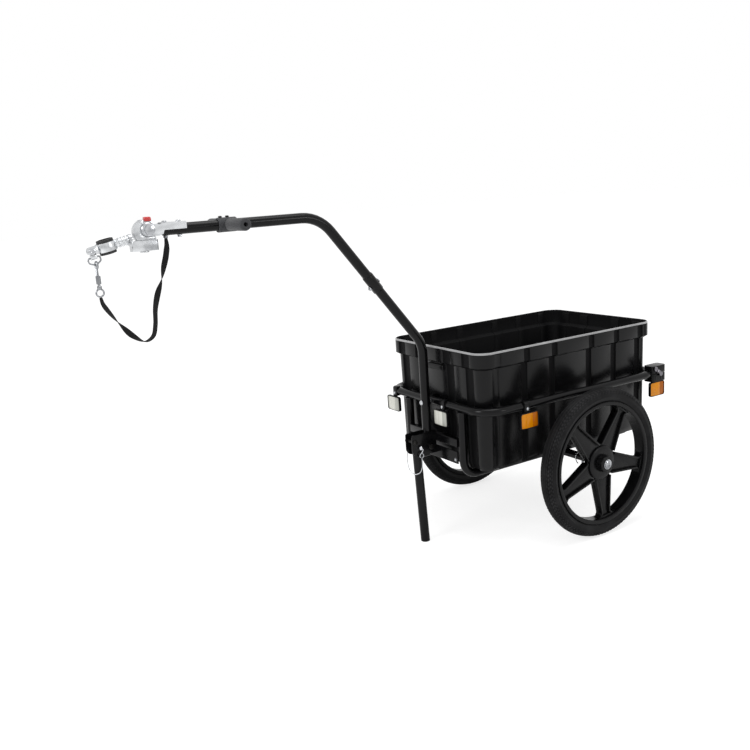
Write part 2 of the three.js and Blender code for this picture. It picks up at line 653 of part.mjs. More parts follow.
function makeHandle() {
  const { x, halfLength, radius, sleeveRadius, holeRadius, holeDepth } = handle;
  const z = drawbar.topZ;
  const tunnel = rod(v(x - handle.sleeveBack - overrun, 0, z), v(x + handle.sleeveFront + overrun, 0, z),
    drawbar.radius + gap, barSides);
  const holes = [1, -1].map((side) => rod(v(x, side * (halfLength - holeDepth), z),
    v(x, side * (halfLength + overrun), z), holeRadius));
  const screws = [x, x + handle.screwSpread].map((at) => rod(v(at, 0, z),
    v(at, 0, z + sleeveRadius + overrun), bolt.smallRadius + gap));
  const sleeve = rod(v(x - handle.sleeveBack, 0, z), v(x + handle.sleeveFront, 0, z), sleeveRadius,
    barSides);
  return join(sleeve, rod(v(x, -halfLength, z), v(x, halfLength, z), radius, barSides))
    .subtract(join(tunnel, ...holes, ...screws));
}

function makeHandleScrew(x) {
  const top = drawbar.topZ + handle.sleeveRadius + gap;
  return join(rod(v(x, 0, drawbar.topZ + drawbar.radius / 2), v(x, 0, top + handle.screwHeight / 2),
    bolt.smallRadius), rod(v(x, 0, top), v(x, 0, top + handle.screwHeight), handle.screwHead));
}

// Stand.

// The leg: a tube whose top is rounded off so that it turns clear of the column.
function makeStandLeg() {
  const crown = alongStand(-stand.crownReach);
  const top = alongStand(-stand.crownReach - stand.radius);
  const path = [top, alongStand(standLength - stand.plugHeight - gap)];
  const reach = stand.radius + overrun;
  const across = (at, radius) => rod(at.clone().setY(-reach), at.clone().setY(reach), radius, barSides);
  const above = rod(crown, alongStand(-stand.crownReach - stand.radius - overrun), reach, barSides);
  return tube(path, stand.radius, stand.wall)
    .subtract(join(above.subtract(across(crown, stand.radius)),
      across(standPivot, stand.pinRadius + gap)));
}

// A plug in the leg's end, cut level where it stands on the ground.
function makeStandFoot() {
  const neck = standLength - stand.plugHeight;
  const below = box(v(stand.footX - stand.radius - overrun, -stand.radius - overrun, -stand.plugHeight),
    v(stand.footX + stand.radius + overrun, stand.radius + overrun, 0));
  return join(rod(alongStand(neck), alongStand(standLength + overrun / 2), stand.radius),
    rod(alongStand(neck - stand.plugDepth), alongStand(neck + gap), stand.radius - stand.wall - gap))
    .subtract(below);
}

function makeLockPin() {
  const head = standPivot.clone().setY(lockHeadY);
  const tail = alongStand(stand.tailLength, lockHeadY);
  const neck = alongStand(stand.ballRadius / 2, lockHeadY);
  const ringCentre = alongStand(stand.tailLength + stand.ringRadius, lockHeadY);
  return join(rod(standPivot.clone().setY(-bracket.halfWidth - overrun), head, stand.pinRadius),
    ball(head, stand.ballRadius), rod(neck, tail, stand.wireRadius, wireSides),
    loop(ringCentre, stand.ringRadius, stand.wireRadius, v(0, 1, 0)));
}

// A round ring of wire about an axis.
function loop(centre, radius, wireRadius, axis, steps = roundSides) {
  const start = Math.abs(axis.z) > Math.SQRT1_2 ? v(radius, 0, 0) : v(0, 0, radius);
  const points = Array.from({ length: steps }, (_, k) => start.clone()
    .applyAxisAngle(axis, (2 * Math.PI * k) / steps).add(centre));
  return sweep(points, wireRadius, wireSides, true);
}

// Wheels.

function arcProfile(radius, centreRadius, from, to, steps) {
  return Array.from({ length: steps + 1 }, (_, k) => {
    const angle = from + ((to - from) * k) / steps;
    return [centreRadius + radius * Math.cos(angle), radius * Math.sin(angle)];
  });
}

// A tyre's carcass: open towards the rim, with its beads against the rim's sides.
function makeTyre() {
  const centre = wheel.radius - wheel.tyreRadius;
  const inner = wheel.tyreRadius - wheel.tyreWall;
  const seat = wheel.rimWidth / 2 - wheel.rimWall - gap;
  const foot = Math.PI - Math.asin(seat / wheel.tyreRadius);
  const innerSeat = seat - wheel.tyreWall;
  const innerFoot = Math.PI - Math.asin(innerSeat / inner);
  const bead = rimRadius - wheel.rimDepth + wheel.rimWall + gap;
  return turned([[bead, -seat], ...arcProfile(wheel.tyreRadius, centre, -foot, foot, tyreSteps),
    [bead, seat], [bead, innerSeat], ...arcProfile(inner, centre, innerFoot, -innerFoot, tyreSteps / 2),
    [bead, -innerSeat]], wheel.steps);
}

// The rim's channel, which holds the tyre's beads between its lips.
function rimProfile() {
  const half = wheel.rimWidth / 2;
  const { rimDepth, rimWall, lipHeight } = wheel;
  const foot = rimRadius - rimDepth;
  const floor = foot + rimWall;
  return [[foot, -half], [rimRadius - lipHeight, -half], [rimRadius - lipHeight, -half + rimWall],
    [floor, -half + rimWall], [floor, half - rimWall], [rimRadius - lipHeight, half - rimWall],
    [rimRadius - lipHeight, half], [foot, half]];
}

// One spoke: a wedge that narrows to the rim, with a pocket in both of its faces.
function spoke(index) {
  const inner = wheel.boreRadius + wheel.pocketEdge;
  const outer = rimRadius - wheel.rimDepth + wheel.rimWall / 2;
  const halfAt = (r) => THREE.MathUtils.mapLinear(r, inner, outer, wheel.spokeHubWidth,
    wheel.spokeRimWidth) / 2;
  const wedge = (r0, r1, inset) => {
    const shape = new THREE.Shape();
    shape.moveTo(r0, inset - halfAt(r0));
    shape.lineTo(r1, inset - halfAt(r1));
    shape.lineTo(r1, halfAt(r1) - inset);
    shape.lineTo(r0, halfAt(r0) - inset);
    return shape;
  };
  const half = wheel.spokeThickness / 2;
  const floor = half - wheel.pocketDepth;
  const pocket = wedge(wheel.pocketRoot, outer - wheel.rimWall - wheel.pocketEdge, wheel.pocketEdge);
  const solid = plate(wedge(inner, outer, 0), -half, half)
    .subtract(plate(pocket, floor, half + overrun))
    .subtract(plate(pocket, -half - overrun, -floor));
  const angle = wheel.spokePhase + (2 * Math.PI * index) / wheel.spokeCount;
  return solid.rotate([0, -THREE.MathUtils.radToDeg(angle), 0]);
}

const hubStart = tubeEnd + gap + axle.flangeLength + gap;
const hubMiddle = hubStart + wheel.hubLength / 2;

function makeRim() {
  const spokes = Array.from({ length: wheel.spokeCount }, (_, i) => spoke(i));
  const shift = hubMiddle - wheelY;
  const half = wheel.hubLength / 2;
  const hub = rod(v(0, shift - half, 0), v(0, shift + half, 0), wheel.hubRadius);
  const hole = rod(v(0, shift - half - overrun, 0), v(0, shift + half + overrun, 0), wheel.boreRadius + gap);
  return join(turned(rimProfile(), wheel.steps), ...spokes, hub).subtract(hole);
}

function makeBearing() {
  const [from, to] = [hubStart + gap, hubStart + wheel.hubLength - gap];
  return turned([[axle.pinRadius + gap + wheel.axleRadius - axle.pinRadius, from],
    [wheel.boreRadius, from], [wheel.boreRadius, to], [wheel.axleRadius + gap, to]], roundSides);
}

function makeAxle() {
  const fit = axle.tubeRadius - axle.tubeWall - gap;
  const flange = tubeEnd + gap;
  const hubEnd = hubStart + wheel.hubLength + gap;
  const outline = [[0, tubeEnd - axle.insert], [fit, tubeEnd - axle.insert], [fit, flange],
    [axle.flangeRadius, flange], [axle.flangeRadius, flange + axle.flangeLength],
    [wheel.axleRadius, flange + axle.flangeLength], [wheel.axleRadius, hubEnd],
    [axle.nutRadius, hubEnd], [axle.nutRadius, hubEnd + axle.nutLength], [0, hubEnd + axle.nutLength]];
  return turned(outline, roundSides).translate([0, 0, axleZ]).subtract(axlePinHole(1));
}

// The pin that locks a wheel's axle in its tube. Its wire bail is drawn sprung off the pin's foot and
// hangs beside the tube, clear of it, so the pin pulls straight up.
function makeAxlePin() {
  const y = tubeEnd - axle.pinInset;
  const headZ = axleZ + axle.tubeRadius + axle.headRadius + gap;
  const footZ = axleZ - axle.tubeRadius - axle.pinReach;
  const bail = new THREE.CatmullRomCurve3([v(0, y, headZ), v(axle.bailBulge, y, axleZ + axle.tubeRadius),
    v(axle.bailBulge, y, axleZ - axle.tubeRadius / 2), v(axle.bailFoot, y, footZ + axle.pinRadius)]);
  return join(rod(v(0, y, footZ), v(0, y, headZ), axle.pinRadius), ball(v(0, y, headZ), axle.headRadius),
    sweep(bail.getPoints(roundSides / 2), axle.wireRadius));
}

function addWheel(side, prefix) {
  const placed = (solid) => (side > 0 ? solid : mirrored(solid));
  const onHub = (solid) => placed(solid.translate([0, wheelY, axleZ]));
  add(`${prefix}_tyre`, onHub(makeTyre()), 'rubber');
  add(`${prefix}_wheel_rim`, onHub(makeRim()), 'blackPlastic');
  add(`${prefix}_wheel_bearing`, placed(makeBearing().translate([0, 0, axleZ])), 'zinc');
  add(`${prefix}_wheel_axle`, placed(makeAxle()), 'zinc');
  add(`${prefix}_axle_lock_pin`, placed(makeAxlePin()), 'zinc');
}

// Reflectors.

// A reflector facing +X, centred on its own middle with its back at X = 0.
function lens() {
  const { width, height, depth, corner } = reflector;
  const body = slab(roundedRect(-width / 2, -height / 2, width / 2, height / 2, corner), 0, depth);
  return body.rotate([90, 0, 90]);
}

// A strip hung from the hoop, facing +X, with the tube's middle at its origin.
function hanger() {
  const { stripWidth, stripThickness, clipHalf, drop, height } = reflector;
  const face = frame.tubeRadius + gap + stripThickness;
  const half = stripWidth / 2;
  const lowZ = -drop - height * (stripShare - 1 / 2);
  return join(box(v(0, -half, -clipHalf), v(face, half, clipHalf)),
    box(v(face - stripThickness, -half, lowZ), v(face, half, 0)));
}

const reflectorFace = frame.tubeRadius + gap + reflector.stripThickness + gap;

function addReflector(name, look, hoopPoint, turn) {
  const at = [hoopPoint.x, hoopPoint.y, hoopPoint.z];
  add(`${name}_reflector`, lens().translate([reflectorFace, 0, -reflector.drop])
    .rotate([0, 0, turn]).translate(at), look);
  add(`${name}_reflector_bracket`, hanger().rotate([0, 0, turn]).translate(at)
    .subtract(hoopTunnel()), 'blackPlastic');
}

// The middle of the hoop's tube in its front right bend, at a given Y.
function hoopBendPoint(y) {
  const across = Math.abs(y) - (hoopHalfWidth - frame.hoopBend);
  const along = Math.sqrt(frame.hoopBend ** 2 - across ** 2);
  return v(hoopFrontX - frame.hoopBend + along, y, frame.hoopZ);
}

// Corner clamps.

const clampTo = {
  frontX: hoopRearX + clamp.ahead, rearX: hoopRearX - clamp.behind,
  innerY: hoopHalfWidth - clamp.inward, outerY: hoopHalfWidth + clamp.outward,
  bottomZ: frame.hoopZ - clamp.below, topZ: frame.hoopZ + clamp.above,
  screwX: hoopRearX + clamp.screwAhead, screwZ: frame.hoopZ + clamp.screwRise,
  lensX: hoopRearX + reflector.rearAhead, lensY: hoopHalfWidth + clamp.outward - reflector.rearInset,
};

// The left clamp: a block with the hoop's tunnel through it, a slit behind the tube, a blind
// hole for the wing screw in its outer face and a strip below for the reflector.
function makeCornerClamp() {
  const { frontX, rearX, innerY, outerY, bottomZ, topZ, screwX, screwZ, lensX, lensY } = clampTo;
  const body = slab(roundedRect(rearX, innerY, frontX, outerY, clamp.corner), bottomZ, topZ);
  const half = reflector.stripWidth / 2;
  const lowZ = bottomZ - reflector.height * stripShare;
  const strip = box(v(lensX - half, lensY - reflector.stripThickness, lowZ),
    v(lensX + half, lensY, bottomZ + overrun));
  const slit = box(v(rearX - overrun, innerY - overrun, frame.hoopZ - clamp.splitHeight / 2),
    v(hoopRearX, outerY + overrun, frame.hoopZ + clamp.splitHeight / 2));
  const hole = rod(v(screwX, outerY - clamp.screwDepth, screwZ), v(screwX, outerY + overrun, screwZ),
    clamp.screwRadius + gap);
  return join(body, strip).subtract(join(hoopTunnel(), slit, hole));
}

// The left clamp's wing screw, which stands out from the clamp's outer face.
function makeWingScrew() {
  const { outerY, screwX, screwZ } = clampTo;
  const { screwRadius, screwDepth, hubRadius, hubLength, wingReach, wingRadius, wingThickness } = clamp;
  const seat = outerY + gap;
  const wingY = [seat + (hubLength - wingThickness) / 2, seat + (hubLength + wingThickness) / 2];
  const web = box(v(-wingReach, wingY[0], -wingRadius / 2), v(wingReach, wingY[1], wingRadius / 2));
  const lobes = [1, -1].map((end) => rod(v(end * wingReach, wingY[0], 0), v(end * wingReach, wingY[1], 0),
    wingRadius));
  const wings = join(web, ...lobes).rotate([0, -THREE.MathUtils.radToDeg(clamp.wingTilt), 0]);
  return join(rod(v(0, outerY - screwDepth + gap, 0), v(0, seat + hubLength / 2, 0), screwRadius),
    rod(v(0, seat, 0), v(0, seat + hubLength, 0), hubRadius), wings).translate([screwX, 0, screwZ]);
}

function addCornerClamp(side, prefix) {
  const placed = (solid) => (side > 0 ? solid : mirrored(solid));
  const lensZ = clampTo.bottomZ - gap - reflector.height / 2;
  add(`${prefix}_corner_clamp`, placed(makeCornerClamp()), 'blackPlastic');
  add(`${prefix}_wing_screw`, placed(makeWingScrew()), 'zinc');
  add(`${prefix}_rear_reflector`, placed(lens().rotate([0, 0, 90])
    .translate([clampTo.lensX, clampTo.lensY + gap, lensZ])), 'orangeLens');
}

// Hitch.

// The folded sheet channel on the drawbar's end, with its two cheeks for the cross bolt.
function makeShank() {
  const { length, skirtRear, eyeRadius, halfWidth, sheet } = coupling;
  const [rearX, skirtZ] = [drawbar.endX - skirtRear, drawbar.topZ];
  const webEnd = rearX + length;
  const topZ = drawbar.topZ + drawbar.radius + gap + sheet;
  const low = eyeCentre.z - eyeRadius;
  const shape = new THREE.Shape();
  shape.moveTo(rearX, skirtZ);
  shape.lineTo(drawbar.endX, skirtZ);
  shape.lineTo(drawbar.endX + sheet, low + sheet);
  shape.lineTo(drawbar.endX + eyeRadius, low);
  shape.lineTo(eyeCentre.x, low);
  shape.absarc(eyeCentre.x, eyeCentre.z, eyeRadius, -Math.PI / 2, Math.PI / 2, false);
  shape.lineTo(webEnd + sheet, topZ - sheet);
  shape.lineTo(webEnd, topZ);
  shape.lineTo(rearX, topZ);
  const inner = halfWidth - sheet;
  const farX = eyeCentre.x + eyeRadius + overrun;
  const cuts = join(box(v(rearX - overrun, -inner, low - overrun), v(farX, inner, topZ - sheet)),
    box(v(webEnd, -inner, low - overrun), v(farX, inner, topZ + overrun)),
    pinHoleAt(eyeCentre.x, eyeCentre.z, coupling.crossRadius + gap, halfWidth + overrun),
    ...[frontBoltX, frontBoltX - coupling.boltSpacing].map((x) => rod(
      v(x, 0, skirtZ), v(x, 0, topZ + overrun), bolt.smallRadius + gap,
    )));
  return plate(shape, -halfWidth, halfWidth).subtract(cuts);
}

function makeShankBolt(x) {
  const top = drawbar.topZ + drawbar.radius + gap + coupling.sheet + gap;
  const bottom = drawbar.topZ - drawbar.radius - gap;
  return join(rod(v(x, 0, bottom - bolt.headHeight), v(x, 0, top + bolt.smallHeight / 2), bolt.smallRadius),
    rod(v(x, 0, top), v(x, 0, top + bolt.smallHeight), bolt.smallHead),
    rod(v(x, 0, bottom - bolt.headHeight), v(x, 0, bottom), bolt.smallHead, 6));
}

function makeCrossBolt() {
  const { headRadius, headHeight, crossRadius, halfWidth } = coupling;
  return throughBolt((reach) => v(eyeCentre.x, reach, eyeCentre.z), halfWidth, crossRadius,
    headRadius, headHeight);
}

function makeBush() {
  const half = coupling.halfWidth - coupling.sheet - gap;
  return turned([[coupling.crossRadius + gap, -half], [coupling.bushRadius, -half],
    [coupling.bushRadius, half], [coupling.crossRadius + gap, half]], roundSides)
    .translate([eyeCentre.x, 0, eyeCentre.z]);
}

function makeHook() {
  const { halfWidth, outerRadius, tipAngle, lipAngle, spigotRadius } = hook;
  const outer = fromEye(hook.outerAhead, -hook.outerDrop);
  const rearX = eyeCentre.x - hook.rearBack;
  const inner = coupling.bushRadius + gap;
  const baseZ = swivelTopZ + gap;
  const from = Math.asin((baseZ - outer.z) / outerRadius);
  const tipX = eyeCentre.x + inner * Math.cos(tipAngle);
  const shape = new THREE.Shape();
  shape.moveTo(rearX, baseZ);
  shape.lineTo(outer.x + outerRadius * Math.cos(from), baseZ);
  shape.absarc(outer.x, outer.z, outerRadius, from, Math.acos((tipX - outer.x) / outerRadius), false);
  shape.lineTo(tipX, eyeCentre.z + inner * Math.sin(tipAngle));
  shape.absarc(eyeCentre.x, eyeCentre.z, inner, tipAngle, lipAngle - 2 * Math.PI, true);
  shape.lineTo(rearX, eyeCentre.z - hook.lipDrop);
  const slot = box(v(tipX - overrun, -hook.slotHalf, eyeCentre.z + hook.slotRise),
    v(outer.x + outerRadius, hook.slotHalf, outer.z + outerRadius + overrun));
  const under = swivelBottomZ - gap;
  return join(plate(shape, -halfWidth, halfWidth, arcSegments * 2).subtract(slot),
    pinHoleAt(hookPivot.x, hookPivot.z, hook.pivotRadius, halfWidth),
    rod(v(swivelX, 0, under - hook.flangeHeight), v(swivelX, 0, baseZ + overrun / 2), spigotRadius),
    rod(v(swivelX, 0, under - hook.flangeHeight), v(swivelX, 0, under), hook.flangeRadius));
}

// The safety latch that shuts the hook's mouth over the bush.
function makeLatch() {
  const outer = latchInner + latch.thickness;
  const from = Math.atan2(hook.pivotRise, hook.pivotAhead);
  const shape = new THREE.Shape();
  shape.absarc(eyeCentre.x, eyeCentre.z, outer, from, latch.tipAngle, false);
  shape.absarc(eyeCentre.x, eyeCentre.z, latchInner, latch.tipAngle, from, true);
  const { halfWidth } = latch;
  const tab = box(v(latchTab.rearX, -halfWidth, eyeCentre.z + latchInner + gap),
    v(latchTab.frontX, halfWidth, latchTab.topZ));
  return join(plate(shape, -halfWidth, halfWidth), tab,
    pinHoleAt(hookPivot.x, hookPivot.z, latch.eyeRadius, halfWidth))
    .subtract(pinHoleAt(hookPivot.x, hookPivot.z, hook.pivotRadius + gap, halfWidth + overrun));
}

// The cap that is pushed over the latch's tab from above.
function makeLatchCap() {
  const { halfWidth, capWall, capSkirt } = latch;
  const { rearX, frontX, topZ } = latchTab;
  const wide = halfWidth + capWall;
  const shape = roundedRect(rearX - capWall, topZ - capSkirt, frontX + capWall / 2, topZ + capWall,
    capWall / 2);
  return plate(shape, -wide, wide).subtract(box(
    v(rearX - capWall - overrun, -halfWidth - gap, topZ - capSkirt - overrun),
    v(frontX + capWall + overrun, halfWidth + gap, topZ + gap),
  ));
}

// Moves a solid from the swivel's own frame, whose X runs forward down its tilted nose.
const onNose = (solid) => solid.rotate([0, swivel.tilt, 0])
  .translate([swivelNose.x, swivelNose.y, swivelNose.z]);
const noseAngle = THREE.MathUtils.degToRad(swivel.tilt);
const nosePoint = (x, y, z) => v(x, y, z).applyAxisAngle(v(0, 1, 0), noseAngle).add(swivelNose);

function makeSwivel() {
  const { rearBack, frontAhead, halfWidth, corner, lugRadius, lugLength } = swivel;
  const body = slab(roundedRect(eyeCentre.x - rearBack, -halfWidth, eyeCentre.x + frontAhead, halfWidth,
    corner), swivelBottomZ, swivelTopZ);
  const lug = onNose(rod(v(-lugLength, 0, 0), v(0, 0, 0), lugRadius));
  const foot = onNose(box(v(-lugLength, gap - lugRadius, swivelTopZ - swivelNose.z - lugRadius),
    v(0, lugRadius - gap, 0)));
  const pivot = rod(v(swivelX, 0, swivelBottomZ - overrun), v(swivelX, 0, swivelTopZ + overrun),
    hook.spigotRadius + gap);
  const journal = onNose(rod(v(-swivel.journalLength - gap, 0, 0), v(overrun, 0, 0),
    swivel.journalRadius + gap));
  return join(body, lug, foot).subtract(join(pivot, journal));
}

function makePostClamp() {
  const { neckRadius, ribRadius, ribCount, neckLength, centre, bandHeight, split, lugReach, lugWidth,
    lugRadius, earDrop, earRadius, earHalf } = post;
  const pitch = neckLength / (ribCount + 1);
  const ribs = Array.from({ length: ribCount }, (_, i) => rod(v(pitch * (i + ribStartShare), 0, 0),
    v(pitch * (i + 1), 0, 0), ribRadius));
  const half = bandHeight / 2;
  const band = rod(v(centre, 0, -half), v(centre, 0, half), bandOuter, bandSides);
  const lugHalf = split / 2 + lugWidth;
  const lugs = join(box(v(centre, -lugHalf, -lugRadius), v(centre + lugReach, lugHalf, lugRadius)),
    rod(v(boltReach, -lugHalf, 0), v(boltReach, lugHalf, 0), lugRadius));
  const earY = split / 2 + lugWidth / 2;
  const ear = join(rod(v(boltReach - earHalf, earY, -earDrop), v(boltReach + earHalf, earY, -earDrop),
    earRadius), box(v(boltReach - earHalf, split / 2, -earDrop), v(boltReach + lugRadius / 2, lugHalf, 0)));
  const cuts = join(rod(v(centre, 0, -half - overrun), v(centre, 0, half + overrun), bandInner, bandSides),
    box(v(centre, -split / 2, -half - overrun),
      v(boltReach + lugRadius + overrun, split / 2, half + overrun)),
    rod(v(boltReach, -lugHalf - overrun, 0), v(boltReach, lugHalf + overrun, 0), post.boltRadius + gap),
    rod(v(boltReach - earHalf - overrun, earY, -earDrop), v(boltReach + earHalf + overrun, earY, -earDrop),
      ring.wireRadius + gap));
  const journal = rod(v(-swivel.journalLength + gap, 0, 0), v(gap + overrun, 0, 0), swivel.journalRadius);
  const neck = rod(v(gap, 0, 0), v(centre - bandInner, 0, 0), neckRadius);
  return onNose(join(journal, neck, ...ribs.map((rib) => rib.translate([gap, 0, 0])), band, lugs, ear)
    .subtract(cuts));
}

// The rubber sleeve between the clamp and the seat post, split where the clamp is.
function makeLiner() {
  const half = post.linerHeight / 2;
  const outer = post.boreRadius + post.linerWall;
  const hole = rod(v(post.centre, 0, -half - overrun), v(post.centre, 0, half + overrun), post.boreRadius,
    bandSides);
  const split = box(v(post.centre, -post.split / 4, -half - overrun),
    v(post.centre + outer + overrun, post.split / 4, half + overrun));
  return onNose(rod(v(post.centre, 0, -half), v(post.centre, 0, half), outer, bandSides)
    .subtract(join(hole, split)));
}

function makeClampBolt() {
  return onNose(throughBolt((reach) => v(boltReach, reach, 0), post.split / 2 + post.lugWidth,
    post.boltRadius, post.boltHead, post.boltHeight));
}

const earPoint = () => v(boltReach, post.split / 2 + post.lugWidth / 2, -post.earDrop);

// The D ring: a straight bar through the clamp's ear and a round bow below it.
function makeDRing() {
  const { halfWidth, shoulderHalf, shoulderDrop, depth, corner, wireRadius } = ring;
  const middle = earPoint();
  const corners = [v(0, 0, 0), v(halfWidth, 0, 0), v(shoulderHalf, 0, -shoulderDrop), v(0, 0, -depth),
    v(-shoulderHalf, 0, -shoulderDrop), v(-halfWidth, 0, 0), v(0, 0, 0)];
  const points = bentPath(corners, corner).slice(0, -1);
  return onNose(sweep(points.map((point) => point.add(middle)), wireRadius, wireSides, true));
}

// Lowest point of the D ring's bow, where the snap hook hangs.
const bowPoint = nosePoint(boltReach, earPoint().y, -post.earDrop - ring.depth);

const snapTop = bowPoint.z - ring.wireRadius * 2;
const shankTopZ = snapTop - snap.hookRadius;
const barrelZ = shankTopZ - snap.shankLength;
const eyeMiddleZ = barrelZ - snap.barrelLength - snap.eyeRadius + snap.eyeWire;

function makeSnapHook() {
  const centreZ = bowPoint.z;
  const { hookRadius, wireRadius } = snap;
  const points = [v(bowPoint.x, bowPoint.y, barrelZ)];
  const steps = roundSides;
  for (let k = 0; k <= steps; k += 1) {
    const angle = -Math.PI / 2 - snap.mouth + (2 * Math.PI + 2 * snap.mouth) * (k / steps);
    if (k === 0) continue;
    points.push(v(bowPoint.x, bowPoint.y - hookRadius * Math.sin(angle + Math.PI / 2),
      centreZ - hookRadius * Math.cos(angle + Math.PI / 2)));
  }
  return join(sweep(points, wireRadius), ball(points.at(-1), wireRadius),
    rod(v(bowPoint.x, bowPoint.y, barrelZ - snap.barrelLength), v(bowPoint.x, bowPoint.y, barrelZ),
      snap.barrelRadius),
    loop(v(bowPoint.x, bowPoint.y, eyeMiddleZ), snap.eyeRadius, snap.eyeWire, v(0, 1, 0)));
}

// Cords.

// The safety strap's route, read off the photograph in the trailer's middle plane.
const strapStart = v(frontBoltX, 0, drawbar.topZ - drawbar.radius - gap - bolt.headHeight - gap);
const strapEnd = v(bowPoint.x, bowPoint.y, eyeMiddleZ - snap.eyeRadius - snap.eyeWire - gap);
const strapRoute = new THREE.CatmullRomCurve3([
  strapStart, v(1029, 0, 870), v(1034, 0, 847), v(1041, 0, 826), v(1050, 0, 796), v(1062, 0, 768),
  v(1071, 0, 736), v(1075, 0, 702), v(1083, 0, 678), v(1102, 1, 669), v(1126, 2, 684),
  v(1148, 3, 708), v(1168, 4, 736), v(1183, 5, 762), strapEnd,
]);
const strapPieces = ['strap_rear', 'strap_middle', 'strap_front'];
const strapShares = [0, 0.42, 0.66, 1];

function addStrap() {
  strapPieces.forEach((name, i) => {
    const [from, to] = [strapShares[i], strapShares[i + 1]];
    const steps = Math.round(strap.steps * (to - from));
    const points = Array.from({ length: steps + 1 }, (_, k) => strapRoute
      .getPointAt(from + ((to - from) * k) / steps));
    const tangents = points.map((_, k) => strapRoute.getTangentAt(from + ((to - from) * k) / steps));
    if (i > 0) points[0].addScaledVector(tangents[0], gap / 2);
    if (i < strapPieces.length - 1) points.at(-1).addScaledVector(tangents.at(-1), -gap / 2);
    add(name, sweep(points, strap.radius, strap.sides, false, tangents), 'webbing');
  });
}

// The thin wire that ties the stand's lock pin to a peg on the bracket's far side.
function makeLanyard() {
  const start = alongStand(stand.tailLength + stand.ringRadius * 2 + stand.wireRadius + gap, lockHeadY);
  const end = v(stand.pegX, -bracket.halfWidth - stand.pegHeight - gap, stand.pegZ);
  const route = new THREE.CatmullRomCurve3([start, v(402, 23, 222), v(408, 19, 206), v(417, 8, 201),
    v(421, -8, 208), v(420, -19, 224), v(416, -27, 242), v(413, -26, 255), end]);
  return sweep(route.getPoints(lanyard.steps), lanyard.radius, lanyard.sides);
}

// Assembly.

add('tub', makeTub(), 'tubPlastic');
add('hoop_tube', makeHoop(), 'blackPaint');
add('base_frame', makeBaseFrame(), 'blackPaint');
add('front_cross_bar', makeFrontBar(), 'blackPaint');
add('front_cross_plate', makeFrontPlate(), 'blackPaint');
add('drawbar_bracket', makeBracket(), 'blackPaint');
addCornerClamp(1, 'left');
addCornerClamp(-1, 'right');
addReflector('front_left', 'whiteLens', v(hoopFrontX, reflector.frontLeftY, frame.hoopZ), 0);
addReflector('front_right', 'whiteLens', hoopBendPoint(reflector.frontRightInset - hoopHalfWidth), 0);
addReflector('side_left', 'orangeLens', v(reflector.sideX, hoopHalfWidth, frame.hoopZ), 90);
addReflector('side_right', 'orangeLens', v(reflector.sideX, -hoopHalfWidth, frame.hoopZ), -90);
add('drawbar_lower_tube', makeLowerTube(), 'blackPaint');
add('drawbar_upper_tube', makeUpperTube(), 'blackPaint');
add('drawbar_joint_bolt', makeJointBolt(), 'zinc');
add('drawbar_hoop_bolt', makeHoopBolt(), 'zinc');
add('drawbar_foot_bolt', crossBolt(drawbar.columnX, drawbar.footBoltZ), 'blackPaint');
add('t_handle', makeHandle(), 'gripRubber');
add('handle_rear_screw', makeHandleScrew(handle.x), 'blackPaint');
add('handle_front_screw', makeHandleScrew(handle.x + handle.screwSpread), 'blackPaint');
add('stand_leg', makeStandLeg(), 'blackPaint');
add('stand_foot_plug', makeStandFoot(), 'blackPlastic');
add('stand_stop_bolt', crossBolt(stopBolt.x, stopBolt.z), 'blackPaint');
add('stand_lock_pin', makeLockPin(), 'zinc');
add('lock_pin_lanyard', makeLanyard(), 'zinc');
addWheel(1, 'left');
addWheel(-1, 'right');
add('coupling_shank', makeShank(), 'aluminium');
add('coupling_front_bolt', makeShankBolt(frontBoltX), 'zinc');
add('coupling_rear_bolt', makeShankBolt(frontBoltX - coupling.boltSpacing), 'zinc');
add('hitch_cross_bolt', makeCrossBolt(), 'zinc');
add('hitch_bush', makeBush(), 'zinc');
add('hitch_hook', makeHook(), 'aluminium');
add('safety_latch', makeLatch(), 'zinc');
add('latch_cap', makeLatchCap(), 'redPlastic');
add('swivel_block', makeSwivel(), 'aluminium');
add('seat_post_clamp', makePostClamp(), 'aluminium');
add('clamp_liner', makeLiner(), 'rubber');
add('clamp_bolt', makeClampBolt(), 'zinc');
add('d_ring', makeDRing(), 'zinc');
add('snap_hook', makeSnapHook(), 'zinc');
addStrap();

const cords = new Set([...strapPieces, 'lock_pin_lanyard']);
const bounds = new THREE.Box3();
model.children.filter((mesh) => !cords.has(mesh.name))
  .forEach((mesh) => bounds.expandByObject(mesh));
const middle = bounds.getCenter(v(0, 0, 0));
model.children.forEach((mesh) => mesh.geometry.translate(-middle.x, -middle.y, -bounds.min.z));

export default model;
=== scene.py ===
"""Looks of a two-wheeled bicycle cargo trailer with a plastic tub, a cranked drawbar and a seat-post hitch.

Shapes are written in millimetres, with X counted forward from the wheel axle, Y to the trailer's left and
Z up from the ground, as the trailer's source counts them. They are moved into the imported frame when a
piece is made.
"""

from __future__ import annotations

import json
import logging
import math
from dataclasses import dataclass, field
from enum import Enum
from typing import Callable, Iterable, Sequence

import bmesh
import bpy
from mathutils import Matrix, Vector


